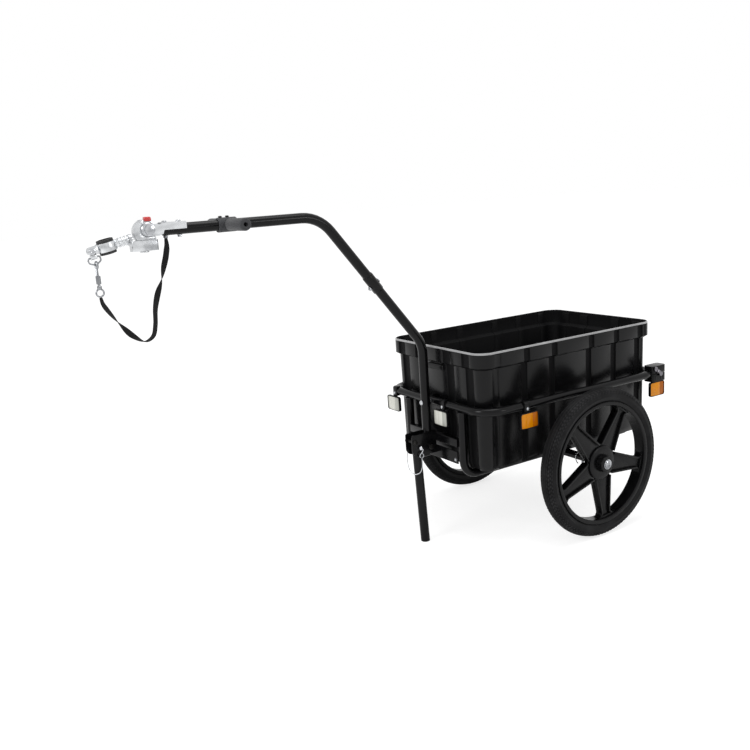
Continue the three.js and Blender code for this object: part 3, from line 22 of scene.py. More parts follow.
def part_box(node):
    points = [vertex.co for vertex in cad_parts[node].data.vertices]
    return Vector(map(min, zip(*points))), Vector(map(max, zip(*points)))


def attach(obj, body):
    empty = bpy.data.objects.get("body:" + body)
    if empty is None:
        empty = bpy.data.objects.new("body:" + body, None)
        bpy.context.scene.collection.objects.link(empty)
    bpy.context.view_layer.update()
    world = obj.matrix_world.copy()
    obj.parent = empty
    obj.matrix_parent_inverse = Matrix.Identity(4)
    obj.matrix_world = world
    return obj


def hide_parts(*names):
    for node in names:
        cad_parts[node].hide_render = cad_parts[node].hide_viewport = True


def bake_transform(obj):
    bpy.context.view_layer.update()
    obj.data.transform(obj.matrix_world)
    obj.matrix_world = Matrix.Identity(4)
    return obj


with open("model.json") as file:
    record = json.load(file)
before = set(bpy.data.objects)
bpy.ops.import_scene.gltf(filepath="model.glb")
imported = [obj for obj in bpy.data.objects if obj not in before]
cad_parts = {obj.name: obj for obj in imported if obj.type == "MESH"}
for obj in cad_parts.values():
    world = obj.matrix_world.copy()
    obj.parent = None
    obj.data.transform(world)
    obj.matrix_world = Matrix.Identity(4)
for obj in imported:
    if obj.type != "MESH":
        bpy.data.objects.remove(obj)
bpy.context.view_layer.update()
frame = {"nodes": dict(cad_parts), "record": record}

LOG = logging.getLogger("trailer")
MM = 0.001
GAP = 0.3
PHOTO_PIXELS = 750

_tyre_low, _tyre_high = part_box("left_tyre")
AXLE_X = (_tyre_low.x + _tyre_high.x) / 2


def placed(point: Vector) -> Vector:
    """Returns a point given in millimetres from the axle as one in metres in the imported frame."""
    return Vector((point.x * MM + AXLE_X, point.y * MM, point.z * MM))


# Shapes


@dataclass
class Shape:
    """A surface in millimetres: its points and its faces."""

    points: list[Vector] = field(default_factory=list)
    faces: list[tuple[int, ...]] = field(default_factory=list)

    def __add__(self, other: Shape) -> Shape:
        """Returns both surfaces as one."""
        start = len(self.points)
        faces = [tuple(i + start for i in face) for face in other.faces]
        return Shape(self.points + other.points, self.faces + faces)

    def moved(self, matrix: Matrix) -> Shape:
        """Returns the surface moved by a matrix."""
        return Shape([matrix @ p for p in self.points], list(self.faces))

    def shifted(self, x: float, y: float, z: float) -> Shape:
        """Returns the surface moved along the three axes."""
        return self.moved(Matrix.Translation((x, y, z)))

    def mirrored(self) -> Shape:
        """Returns the surface as it is on the trailer's other side."""
        return Shape([Vector((p.x, -p.y, p.z)) for p in self.points], [f[::-1] for f in self.faces])

    def on_side(self, side: int) -> Shape:
        """Returns the surface for the left side, 1, or the right side, -1."""
        return self if side > 0 else self.mirrored()


def joined(shapes: Iterable[Shape]) -> Shape:
    """Returns several surfaces as one."""
    whole = Shape()
    for shape in shapes:
        whole = whole + shape
    return whole


def loft(rings: Sequence[Sequence[Vector]], loop: bool = False, caps: bool = True) -> Shape:
    """Joins rings of points into a skin.

    Args:
        rings: Rings with the same number of points each.
        loop: Whether the last ring joins the first.
        caps: Whether an open skin gets a flat face at each end.

    Returns:
        The skin.
    """
    count = len(rings[0])
    points = [p for ring in rings for p in ring]
    faces: list[tuple[int, ...]] = []
    for i in range(len(rings) if loop else len(rings) - 1):
        low, high = i * count, ((i + 1) % len(rings)) * count
        for k in range(count):
            n = (k + 1) % count
            faces.append((low + k, low + n, high + n, high + k))
    if caps and not loop:
        last = (len(rings) - 1) * count
        faces.append(tuple(range(count))[::-1])
        faces.append(tuple(range(last, last + count)))
    return Shape(points, faces)


def arc(centre: tuple[float, float], radius: float, start: float, end: float, steps: int = 8) -> list:
    """Returns points of an arc as pairs. The angles are in degrees."""
    turns = [math.radians(start + (end - start) * k / steps) for k in range(steps + 1)]
    return [(centre[0] + radius * math.cos(t), centre[1] + radius * math.sin(t)) for t in turns]


def rounded(x0: float, y0: float, x1: float, y1: float, radius: float, steps: int = 6) -> list:
    """Returns the outline of a rectangle with rounded corners as pairs."""
    return (arc((x1 - radius, y0 + radius), radius, -90, 0, steps)
            + arc((x1 - radius, y1 - radius), radius, 0, 90, steps)
            + arc((x0 + radius, y1 - radius), radius, 90, 180, steps)
            + arc((x0 + radius, y0 + radius), radius, 180, 270, steps))


def plate(outline: Sequence, low: float, high: float) -> Shape:
    """Returns a flat outline in X and Z made solid from one Y to another."""
    return loft([[Vector((x, y, z)) for x, z in outline] for y in (low, high)])


def slab(outline: Sequence, low: float, high: float) -> Shape:
    """Returns a flat outline in X and Y made solid from one Z to another."""
    return loft([[Vector((x, y, z)) for x, y in outline] for z in (low, high)])


def box(x0: float, y0: float, z0: float, x1: float, y1: float, z1: float) -> Shape:
    """Returns a box between two opposite corners."""
    return slab([(x0, y0), (x1, y0), (x1, y1), (x0, y1)], z0, z1)


def axes_along(direction: Vector) -> tuple[Vector, Vector]:
    """Returns two directions at right angles to a direction and to each other."""
    helper = Vector((0, 1, 0)) if abs(direction.y) < 0.9 else Vector((0, 0, 1))
    side = helper.cross(direction).normalized()
    return side, direction.cross(side).normalized()


def turned(profile: Sequence, start: Vector, way: Vector, steps: int = 32) -> Shape:
    """Turns a profile round an axis.

    Args:
        profile: Pairs of radius and distance along the axis, in order from one end to the other.
        start: Where the axis begins.
        way: The way it runs.
        steps: Steps of a full turn.

    Returns:
        The turned solid, closed at both ends by its outermost rings.
    """
    along = way.normalized()
    side, up = axes_along(along)
    rings = []
    for radius, reach in profile:
        middle = start + along * reach
        angles = [2 * math.pi * k / steps for k in range(steps)]
        rings.append([middle + side * (radius * math.cos(a)) + up * (radius * math.sin(a))
                      for a in angles])
    return loft(rings)


def ring_turned(profile: Sequence, centre: Vector, way: Vector, steps: int = 96) -> Shape:
    """Turns a closed profile of radius and distance pairs into a ring, such as a tyre."""
    along = way.normalized()
    side, up = axes_along(along)
    rings = []
    for k in range(steps):
        turn = 2 * math.pi * k / steps
        out = side * math.cos(turn) + up * math.sin(turn)
        rings.append([centre + out * radius + along * reach for radius, reach in profile])
    return loft(rings, loop=True)


def bent_path(corners: Sequence[Vector], radius: float, step: float = 7.5) -> list[Vector]:
    """Returns points along straight runs with each inner corner bent to a radius."""
    points = [corners[0].copy()]
    for before, corner, after in zip(corners, corners[1:], corners[2:]):
        back, on = (before - corner).normalized(), (after - corner).normalized()
        turn = math.pi - back.angle(on)
        reach = radius * math.tan(turn / 2)
        centre = corner + (back + on).normalized() * (radius / math.cos(turn / 2))
        start = corner + back * reach - centre
        axis = back.cross(on).normalized()
        steps = max(2, math.ceil(math.degrees(turn) / step))
        for k in range(steps + 1):
            points.append(Matrix.Rotation(-turn * k / steps, 3, axis) @ start + centre)
    points.append(corners[-1].copy())
    return points


def headings(points: Sequence[Vector], closed: bool = False) -> list[Vector]:
    """Returns the way a path runs at each of its points."""
    count = len(points)
    ways = []
    for i, point in enumerate(points):
        before = points[(i - 1) % count] if closed else points[max(i - 1, 0)]
        after = points[(i + 1) % count] if closed else points[min(i + 1, count - 1)]
        ways.append(((point - before).normalized() + (after - point).normalized()).normalized())
    return ways


def swept(points: Sequence[Vector], section: Callable[[float], Sequence], closed: bool = False,
          ends: float = 0.0) -> Shape:
    """Sweeps a flat section along points.

    Args:
        points: The points of the path.
        section: Gives the section's outline, as pairs, at a share of the path from 0 to 1.
        closed: Whether the path comes back to its first point.
        ends: How far each end is rounded over, as on a rod with eased ends.

    Returns:
        The skin, closed at its ends.
    """
    ways = headings(points, closed)
    side = axes_along(ways[0])[0]
    rings = []
    for i, (point, way) in enumerate(zip(points, ways)):
        side = (side - way * side.dot(way)).normalized()
        up = way.cross(side)
        outline = section(i / max(len(points) - 1, 1))
        rings.append([point + side * a + up * b for a, b in outline])
        at_end = i in (0, len(points) - 1)
        if ends and at_end and not closed:
            shrunk = [point + (p - point) * 0.8 for p in rings[-1]]
            inward = way * (ends if i == 0 else -ends)
            rings[-1] = [p + inward for p in rings[-1]]
            rings.insert(len(rings) - 1 if i == 0 else len(rings), shrunk)
    return loft(rings, loop=closed)


def rod(points: Sequence[Vector], radius: float, sides: int = 24, closed: bool = False,
        ends: float = 0.0) -> Shape:
    """Returns a round bar along points."""
    outline = [(radius * math.cos(2 * math.pi * k / sides), radius * math.sin(2 * math.pi * k / sides))
               for k in range(sides)]
    return swept(points, lambda share: outline, closed, ends)


def tube(points: Sequence[Vector], radius: float, wall: float, sides: int = 40) -> Shape:
    """Returns a hollow tube along points, open at both ends."""
    outer, inner = rod(points, radius, sides), rod(points, radius - wall, sides)
    count = len(outer.points)
    faces = outer.faces[:-2] + [tuple(i + count for i in f[::-1]) for f in inner.faces[:-2]]
    last = count - sides
    for k in range(sides):
        n = (k + 1) % sides
        faces.append((k, count + k, count + n, n))
        faces.append((last + n, count + last + n, count + last + k, last + k))
    return Shape(outer.points + inner.points, faces)


def ball(centre: Vector, radius: float, steps: int = 20) -> Shape:
    """Returns a round ball."""
    profile = [(max(radius * math.sin(math.pi * k / steps), 0.02), -radius * math.cos(math.pi * k / steps))
               for k in range(steps + 1)]
    return turned(profile, centre, Vector((0, 0, 1)), steps)


def wire_ring(centre: Vector, radius: float, wire: float, axis: Vector, steps: int = 40) -> Shape:
    """Returns a closed ring of round wire about an axis."""
    side, up = axes_along(axis.normalized())
    angles = [2 * math.pi * k / steps for k in range(steps)]
    points = [centre + side * (radius * math.cos(a)) + up * (radius * math.sin(a)) for a in angles]
    return rod(points, wire, 12, closed=True)


def bolt_head(start: Vector, way: Vector, across: float, height: float, sides: int = 6) -> Shape:
    """Returns a hexagon head, or a round one, on its washer, with its top edge turned down."""
    washer = turned([(across * 1.12, 0), (across * 1.12, height * 0.18)], start, way, 28)
    if sides == 6:
        head = turned([(across, height * 0.2), (across, height * 0.86)], start, way, 6)
        crown = turned([(across * 0.86, height * 0.7), (across * 0.86, height)], start, way, 28)
        return washer + head + crown
    dome = [(across, height * 0.2), (across, height * 0.5), (across * 0.86, height * 0.85),
            (across * 0.5, height), (across * 0.26, height), (across * 0.24, height * 0.7)]
    return washer + turned(dome, start, way, 28)


def spline(route: Sequence[Vector], count: int) -> list[Vector]:
    """Returns evenly spaced points on the smooth curve through a route, as the source draws it."""
    ends = [route[0] * 2 - route[1], *route, route[-1] * 2 - route[-2]]
    fine: list[Vector] = []
    for p0, p1, p2, p3 in zip(ends, ends[1:], ends[2:], ends[3:]):
        d0, d1, d2 = (max((b - a).length ** 0.5, 1e-4) for a, b in ((p0, p1), (p1, p2), (p2, p3)))
        t1 = ((p1 - p0) / d0 - (p2 - p0) / (d0 + d1) + (p2 - p1) / d1) * d1
        t2 = ((p2 - p1) / d1 - (p3 - p1) / (d1 + d2) + (p3 - p2) / d2) * d1
        for k in range(24):
            t = k / 24
            fine.append(p1 + t1 * t + (p2 * 3 - p1 * 3 - t1 * 2 - t2) * t ** 2
                        + (p1 * 2 - p2 * 2 + t1 + t2) * t ** 3)
    fine.append(route[-1].copy())
    reach = [0.0]
    for a, b in zip(fine, fine[1:]):
        reach.append(reach[-1] + (b - a).length)
    points, at = [], 0
    for k in range(count + 1):
        goal = reach[-1] * k / count
        while at < len(fine) - 2 and reach[at + 1] < goal:
            at += 1
        share = (goal - reach[at]) / max(reach[at + 1] - reach[at], 1e-9)
        points.append(fine[at].lerp(fine[at + 1], share))
    return points


# Finishes


def linear(code: str, alpha: float = 1.0) -> tuple[float, float, float, float]:
    """Turns an sRGB hex value into Blender's linear colour."""
    values = [int(code[i:i + 2], 16) / 255 for i in (1, 3, 5)]
    bent = [v / 12.92 if v <= 0.04045 else ((v + 0.055) / 1.055) ** 2.4 for v in values]
    return (bent[0], bent[1], bent[2], alpha)


def add_node(tree: bpy.types.NodeTree, kind: str, settings: dict | None = None,
             inputs: dict | None = None) -> bpy.types.Node:
    """Adds a shader node.

    Args:
        tree: The material's or world's node tree.
        kind: The node's type name.
        settings: Fields of the node to set.
        inputs: Values, or other nodes' sockets, for its inputs.

    Returns:
        The node.
    """
    node = tree.nodes.new(kind)
    for name, value in (settings or {}).items():
        setattr(node, name, value)
    for name, value in (inputs or {}).items():
        if isinstance(value, bpy.types.NodeSocket):
            tree.links.new(value, node.inputs[name])
        else:
            node.inputs[name].default_value = value
    return node


class Relief(Enum):
    """How a surface was made, which gives its fine relief."""

    MOULDED = "spark-eroded mould grain"
    POWDER = "orange peel of a powder coat"
    FOAM = "open pores of foam rubber"
    PLATED = "bright plating over turned steel"
    CAST = "tumbled casting"
    PRISMS = "corner-cube prisms"
    WOVEN = "plain woven webbing"
    RUBBER = "vulcanised rubber"


@dataclass(frozen=True)
class Finish:
    """One material, named for what it is and how its surface was made."""

    name: str
    colour: str
    marked: str
    relief: Relief
    grain_mm: float
    depth_mm: float
    roughness: float
    rough_spread: float = 0.08
    metallic: float = 0.0
    ior: float = 1.5
    coat: float = 0.0
    sheen: float = 0.0

    def build(self) -> bpy.types.Material:
        """Makes the material: its colour, its relief and how its gloss varies."""
        material = bpy.data.materials.new(self.name)
        material.use_nodes = True
        tree = material.node_tree
        tree.nodes.clear()
        place = add_node(tree, "ShaderNodeTexCoord").outputs["Object"]
        pattern = self._pattern(tree, place)
        marks = add_node(tree, "ShaderNodeTexNoise", {}, {
            "Vector": place, "Scale": 14.0, "Detail": 6.0, "Roughness": 0.62}).outputs["Fac"]
        spots = add_node(tree, "ShaderNodeMapRange", {"interpolation_type": "SMOOTHSTEP"}, {
            "Value": marks, "From Min": 0.42, "From Max": 0.74}).outputs["Result"]
        colour = add_node(tree, "ShaderNodeMix", {"data_type": "RGBA"}, {"Factor": spots})
        colour.inputs[6].default_value = linear(self.colour)
        colour.inputs[7].default_value = linear(self.marked)
        # Prisms, weave and foam also get painted shade and highlight from their relief here.
        shade = self._shaded(tree, colour.outputs[2], pattern)
        gloss = add_node(tree, "ShaderNodeMapRange", {}, {
            "Value": marks, "To Min": self.roughness - self.rough_spread,
            "To Max": self.roughness + self.rough_spread}).outputs["Result"]
        bump = add_node(tree, "ShaderNodeBump", {}, {
            "Height": pattern, "Distance": self.depth_mm * MM, "Strength": 0.8}).outputs["Normal"]
        surface = add_node(tree, "ShaderNodeBsdfPrincipled", {}, {
            "Base Color": shade, "Roughness": gloss, "Metallic": self.metallic, "IOR": self.ior,
            "Coat Weight": self.coat, "Coat Roughness": 0.08, "Sheen Weight": self.sheen,
            "Sheen Roughness": 0.5, "Normal": bump})
        add_node(tree, "ShaderNodeOutputMaterial", {}, {"Surface": surface.outputs["BSDF"]})
        material.diffuse_color = linear(self.colour)
        return material

    def _pattern(self, tree: bpy.types.NodeTree, place: bpy.types.NodeSocket) -> bpy.types.NodeSocket:
        """Adds the relief's own pattern at its real size and returns its height."""
        scale = 1 / (self.grain_mm * MM)
        if self.relief in (Relief.FOAM, Relief.PRISMS, Relief.CAST):
            kind = {Relief.FOAM: "F1", Relief.PRISMS: "DISTANCE_TO_EDGE", Relief.CAST: "SMOOTH_F1"}
            # Prisms stand in even rows, so their cells are not scattered.
            scatter = 0.0 if self.relief is Relief.PRISMS else 1.0
            return add_node(tree, "ShaderNodeTexVoronoi", {"feature": kind[self.relief]}, {
                "Vector": place, "Scale": scale, "Randomness": scatter}).outputs["Distance"]
        if self.relief is Relief.WOVEN:
            warp, weft = (add_node(tree, "ShaderNodeTexWave", {"bands_direction": way}, {
                "Vector": place, "Scale": scale / 6.28, "Distortion": 0.6, "Detail": 1.0,
                "Detail Scale": 2.0}).outputs["Fac"] for way in ("DIAGONAL", "Z"))
            return add_node(tree, "ShaderNodeMath", {"operation": "MULTIPLY"},
                            {0: warp, 1: weft}).outputs["Value"]
        detail = {Relief.POWDER: 1.5, Relief.PLATED: 3.0}.get(self.relief, 5.0)
        return add_node(tree, "ShaderNodeTexNoise", {}, {
            "Vector": place, "Scale": scale, "Detail": detail, "Roughness": 0.55}).outputs["Fac"]

    def _shaded(self, tree: bpy.types.NodeTree, colour: bpy.types.NodeSocket,
                pattern: bpy.types.NodeSocket) -> bpy.types.NodeSocket:
        """Paints shade into the colour of the prisms, the weave and the foam where their relief is low, and a
        little highlight where it is high, and returns that colour.
        """
        if self.relief not in (Relief.PRISMS, Relief.WOVEN, Relief.FOAM):
            return colour
        low = 0.72 if self.relief is Relief.PRISMS else 0.6
        # The relief's height scales the colour: painted shade in its hollows, painted highlight on its high
        # points.
        light = add_node(tree, "ShaderNodeMapRange", {}, {
            "Value": pattern, "From Max": 0.5, "To Min": low, "To Max": 1.12}).outputs["Result"]
        return add_node(tree, "ShaderNodeVectorMath", {"operation": "SCALE"},
                        {0: colour, "Scale": light}).outputs["Vector"]


# Injection-moulded polypropylene: a fine grain that breaks the reflections into a soft grey sheen.
POLYPROPYLENE = Finish("moulded_black_polypropylene", "#080809", "#0e0e0f", Relief.MOULDED, 1.1, 0.07,
                       0.24, 0.05, ior=1.27)
# The same plastic in the grooves and inside: matt, and painted darker as painted shade in these hollows.
MATT_POLYPROPYLENE_PAINTED_SHADE = Finish("matt_polypropylene_painted_shade", "#040405", "#070708", Relief.MOULDED, 0.8, 0.12,
                            0.62, 0.05, ior=1.2)
# The same plastic on the rolled rim, painted pale grey as a painted highlight, which draws the light line
# round the tub.
RIM_PAINTED_HIGHLIGHT_POLYPROPYLENE = Finish("polypropylene_rim_painted_highlight", "#858586", "#989899", Relief.RUBBER, 2.0,
                                 0.03, 0.22, 0.05, coat=0.6)
# Powder coat on steel tube: satin black with a faint orange peel.
POWDER_COAT = Finish("satin_black_powder_coat", "#060607", "#0b0b0c", Relief.POWDER, 2.2, 0.03, 0.2, 0.04,
                     ior=1.27)
# Blackened steel: duller than the paint, and slightly brown.
BLACKENED_STEEL = Finish("blackened_steel", "#171615", "#221f1d", Relief.CAST, 0.8, 0.03, 0.36, 0.08,
                         metallic=0.6)
# Glass-filled nylon: black with a dull, slightly streaked skin.
NYLON = Finish("glass_filled_nylon", "#070708", "#0d0d0e", Relief.MOULDED, 0.9, 0.06, 0.28, 0.06, ior=1.26)
# Tyre rubber: deep black and matt, with a greyish bloom.
TYRE_RUBBER = Finish("vulcanised_tyre_rubber", "#060607", "#1b1b1c", Relief.RUBBER, 0.8, 0.1, 0.5, 0.08,
                     ior=1.22)
# The tread's blocks, scuffed by the road to a dusty grey.
SCUFFED_RUBBER = Finish("scuffed_tread_rubber", "#1b1b1c", "#303031", Relief.RUBBER, 0.8, 0.1, 0.6, 0.06,
                        ior=1.22)
# Foam rubber grips: dark grey with fine pores.
FOAM_RUBBER = Finish("foam_rubber", "#26272a", "#303134", Relief.FOAM, 0.9, 0.2, 0.78, 0.06, sheen=0.08)
# Soft rubber between clamp and post.
LINER_RUBBER = Finish("soft_liner_rubber", "#0f0f10", "#17171a", Relief.RUBBER, 0.7, 0.08, 0.5, 0.06)
# Zinc-plated steel: bright and slightly clouded.
ZINC_PLATE = Finish("zinc_plated_steel", "#c3c5c8", "#5c5e62", Relief.PLATED, 0.6, 0.02, 0.18, 0.08,
                    metallic=1.0)
# Zinc that has gone dull under the hand, on the wing screws.
DULL_ZINC = Finish("dulled_zinc_plate", "#77757a", "#3f3e42", Relief.CAST, 0.6, 0.03, 0.34, 0.1,
                   metallic=1.0)
# Bent steel wire and rod, zinc plated: greyer than the flat plated faces.
BENT_STEEL = Finish("bent_plated_rod", "#96989b", "#55575b", Relief.PLATED, 0.6, 0.02, 0.24, 0.08,
                    metallic=1.0)
# Stranded steel wire in the lock pin's tether.
WIRE_ROPE = Finish("stranded_steel_wire", "#c2c4c7", "#94979b", Relief.PLATED, 0.5, 0.1, 0.3, 0.08,
                   metallic=1.0)
# Aluminium, cast or folded and then tumbled: paler and softer than the zinc.
TUMBLED_ALUMINIUM = Finish("tumbled_aluminium", "#d2d4d6", "#7d7f82", Relief.CAST, 0.7, 0.03, 0.24, 0.08,
                           metallic=1.0)
# Acrylic reflector lenses over corner-cube prisms, coarse enough to show.
AMBER_ACRYLIC = Finish("amber_prism_acrylic", "#dc8a00", "#cf7a00", Relief.PRISMS, 3.0, 0.5, 0.2, 0.05,
                       ior=1.3)
# A darker copy of the amber lens: painted shade for the one outer zone that leans the other way.
AMBER_ACRYLIC_PAINTED_SHADE = Finish("amber_prism_acrylic_painted_shade", "#b46200", "#a45600", Relief.PRISMS, 3.0, 0.5,
                            0.24, 0.05, ior=1.3)
CLEAR_ACRYLIC = Finish("clear_prism_acrylic", "#cfcfc6", "#bfc0b6", Relief.PRISMS, 3.0, 0.5, 0.18, 0.05,
                       coat=0.4)
# A darker copy of the clear lens: painted shade for the one outer zone that leans the other way.
CLEAR_ACRYLIC_PAINTED_SHADE = Finish("clear_prism_acrylic_painted_shade", "#a6a79f", "#9a9b93", Relief.PRISMS, 3.0, 0.5, 0.22, 0.05,
                        coat=0.4)
# Dipped vinyl on the latch's tab: glossy red.
RED_VINYL = Finish("dipped_red_vinyl", "#b92c2b", "#a32524", Relief.RUBBER, 1.5, 0.03, 0.3, 0.05, coat=0.3)
# Woven nylon webbing: black yarn with a little fuzz.
WEBBING = Finish("woven_nylon_webbing", "#060607", "#0d0d0e", Relief.WOVEN, 1.6, 0.35, 0.7, 0.06,
                 ior=1.3)

_made: dict[str, bpy.types.Material] = {}


def material_of(finish: Finish) -> bpy.types.Material:
    """Returns a finish's material, made the first time that it is asked for."""
    if finish.name not in _made:
        _made[finish.name] = finish.build()
    return _made[finish.name]


# Pieces


@dataclass
class Piece:
    """One visible piece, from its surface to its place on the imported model."""

    name: str
    shape: Shape
    finish: Finish
    body: str
    nodes: tuple[str, ...] = ()
    bevel_mm: float = 0.0
    segments: int = 2
    smooth_deg: float = 32.0
    others: dict[Finish, Sequence[int]] = field(default_factory=dict)

    def make(self, ride: bool = True) -> bpy.types.Object:
        """Makes the object, eases its edges, dresses it and puts it on its body.

        Args:
            ride: Whether it rides rigidly; a piece that bends between two bodies does not.

        Returns:
            The object.
        """
        mesh = bpy.data.meshes.new(self.name)
        mesh.from_pydata([placed(p) for p in self.shape.points], [], self.shape.faces)
        mesh.materials.append(material_of(self.finish))
        for index, (finish, faces) in enumerate(self.others.items(), 1):
            mesh.materials.append(material_of(finish))
            for face in faces:
                mesh.polygons[face].material_index = index
        loose = bmesh.new()
        loose.from_mesh(mesh)
        bmesh.ops.remove_doubles(loose, verts=loose.verts, dist=0.002 * MM)
        bmesh.ops.recalc_face_normals(loose, faces=loose.faces)
        loose.to_mesh(mesh)
        loose.free()
        thing = bpy.data.objects.new(self.name, mesh)
        bpy.context.scene.collection.objects.link(thing)
        if self.bevel_mm:
            self._ease(thing)
        thing.data.shade_smooth()
        thing.data.set_sharp_from_angle(angle=math.radians(self.smooth_deg))
        if ride:
            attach(thing, self.body)
        if self.nodes:
            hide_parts(*self.nodes)
        LOG.info("%s in %s on %s", self.name, self.finish.name, self.body)
        return thing

    def _ease(self, thing: bpy.types.Object) -> None:
        """Rounds the piece's sharp edges and keeps the result in its mesh."""
        bevel = thing.modifiers.new("eased_edges", "BEVEL")
        bevel.width = self.bevel_mm * MM
        bevel.segments = self.segments
        bevel.limit_method = "ANGLE"
        bevel.angle_limit = math.radians(28)
        bevel.use_clamp_overlap = True
        shown = thing.evaluated_get(bpy.context.evaluated_depsgraph_get())
        eased = bpy.data.meshes.new_from_object(shown)
        thing.modifiers.clear()
        thing.data = eased


# The tub


@dataclass
class Tub:
    """The open plastic tub with its rim band, upright grooves and two hand holds."""

    length: float = 640
    width: float = 408
    centre_x: float = 14
    rim_z: float = 542
    floor_z: float = 217
    wall: float = 3
    band: float = 47
    band_step: float = 12
    band_chamfer: float = 7
    lip: float = 5
    lip_ease: float = 1.5
    draft: float = 4
    foot_bevel: float = 24
    corner_radius: float = 42
    foot_corner: float = 20
    corner_steps: int = 14
    groove_depth: float = 4
    groove_ease: float = 1.6
    side_groove: float = 18
    end_groove: float = 28
    handle_width: float = 70
    handle_height: float = 15
    handle_depth: float = 6
    handle_drop: float = 4
    side_shares: tuple = (-0.99, -0.627, -0.259, 0.259, 0.627, 0.99)
    end_shares: tuple = (-0.99, -0.437, 0.437, 0.99)

    def ring(self, z: float, inset: float, depth: float, within: float = 0.0) -> list[Vector]:
        """Returns one level of the tub's outline.

        Args:
            z: The level's height.
            inset: How far it lies inside the rim's outline.
            depth: How deep the grooves are there.
            within: The wall's thickness for a level of the inside, whose grooves follow the outside's.

        Returns:
            The level's points.
        """
        radius = max(self.corner_radius - inset, self.foot_corner)
        halves = (self.length / 2 - inset, self.width / 2 - inset)
        points = []
        for wall in range(4):
            is_end = wall % 2 == 0
            out, across = halves if is_end else halves[::-1]
            corner = across - radius
            half = (self.end_groove if is_end else self.side_groove) / 2
            straight = across + within - max(self.corner_radius - inset + within, self.foot_corner)
            reach = straight - half - self.groove_ease - self.wall
            flat = []
            for share in self.end_shares if is_end else self.side_shares:
                middle = share * reach
                flat += [(out, middle - half - self.groove_ease), (out - depth, middle - half),
                         (out - depth, middle + half), (out, middle + half + self.groove_ease)]
            flat += arc((out - radius, corner), radius, 0, 90, self.corner_steps)
            turn = Matrix.Rotation(math.pi / 2 * wall, 3, "Z")
            points += [turn @ Vector((x, y, z)) for x, y in flat]
        return [p + Vector((self.centre_x, 0, 0)) for p in points]

    def shell(self) -> Shape:
        """Returns the tub's one-piece shell, outside and inside."""
        band_z, lip_z = self.rim_z - self.band, self.rim_z - self.lip
        low, deep = self.band_step + self.draft, self.groove_depth
        inner = self.wall
        levels = [
            (self.floor_z, low + self.foot_bevel, 0),
            (self.floor_z + self.foot_bevel * 0.3, low + self.foot_bevel * 0.3, deep),
            (self.floor_z + self.foot_bevel, low, deep),
            (band_z, self.band_step, deep), (band_z + self.band_chamfer, 0, deep),
            (lip_z - self.lip_ease, 0, deep), (lip_z, 0, 0), (self.rim_z - 1.6, 0, 0),
            (self.rim_z - 0.3, 0.9, 0), (self.rim_z, 1.6, 0), (self.rim_z, inner - 0.8, 0),
            (self.rim_z - 0.8, inner, 0, inner), (lip_z - inner, inner, 0, inner),
            (lip_z - inner - self.lip_ease, inner, deep, inner),
            (band_z + self.band_chamfer, inner, deep, inner),
            (band_z, self.band_step + inner, deep, inner),
            (self.floor_z + self.foot_bevel + inner, low + inner, deep, inner),
            (self.floor_z + inner, low + self.foot_bevel + inner, 0, inner),
        ]
        return loft([self.ring(*level) for level in levels])

    def finishes(self) -> dict[Finish, list[int]]:
        """Returns which of the shell's faces carry the rim's painted highlight, and which are matt with
        painted shade.
        """
        count = len(self.ring(self.rim_z, 0, 0))
        per_wall = count // 4
        matt, bright = [], []
        for level in range(17):
            for k in range(count):
                share_count = len(self.end_shares if (k // per_wall) % 2 == 0 else self.side_shares)
                at = k % per_wall
                in_groove = at < 4 * share_count and at % 4 in (0, 1, 2)
                # The rim's lip levels get the painted highlight; the groove floors and the inside get the
                # matt plastic with painted shade.
                if 6 <= level <= 10:
                    bright.append(level * count + k)
                elif level > 10 or in_groove:
                    matt.append(level * count + k)
        return {MATT_POLYPROPYLENE_PAINTED_SHADE: matt, RIM_PAINTED_HIGHLIGHT_POLYPROPYLENE: bright}

    def hand_hold(self, end: int) -> Shape:
        """Returns the grip under the rim band at the front, 1, or the rear, -1."""
        wall_x = self.centre_x + end * (self.length / 2 - self.band_step - 1)
        top = self.rim_z - self.band - self.handle_drop
        y, out = self.handle_width / 2, wall_x + end * self.handle_depth
        grip = rounded(-y, top - self.handle_height, y, top, 4.5)
        body = loft([[Vector((x, a, b)) for a, b in grip] for x in (wall_x, out - end)]
                    + [[Vector((out, a * 0.96, top - self.handle_height / 2
                                + (b - top + self.handle_height / 2) * 0.8)) for a, b in grip]])
        return body

    def band_ribs(self, end: int) -> Shape:
        """Returns the two short ribs that flank the centre panel on the rim band."""
        x = self.centre_x + end * (self.length / 2)
        low, high = self.rim_z - self.band + 6, self.rim_z - self.lip - 6
        return joined(box(x - end * 1.5, y - 1.6, low, x - end * 0.1, y + 1.6, high)
                      for y in (-self.handle_width / 2, self.handle_width / 2))

    def build(self) -> None:
        """Makes the tub."""
        whole = self.shell() + joined(self.hand_hold(end) for end in (1, -1))
        Piece("tub_shell", whole, POLYPROPYLENE, "trailer", ("tub",), 0.5, others=self.finishes()).make()


# The frame


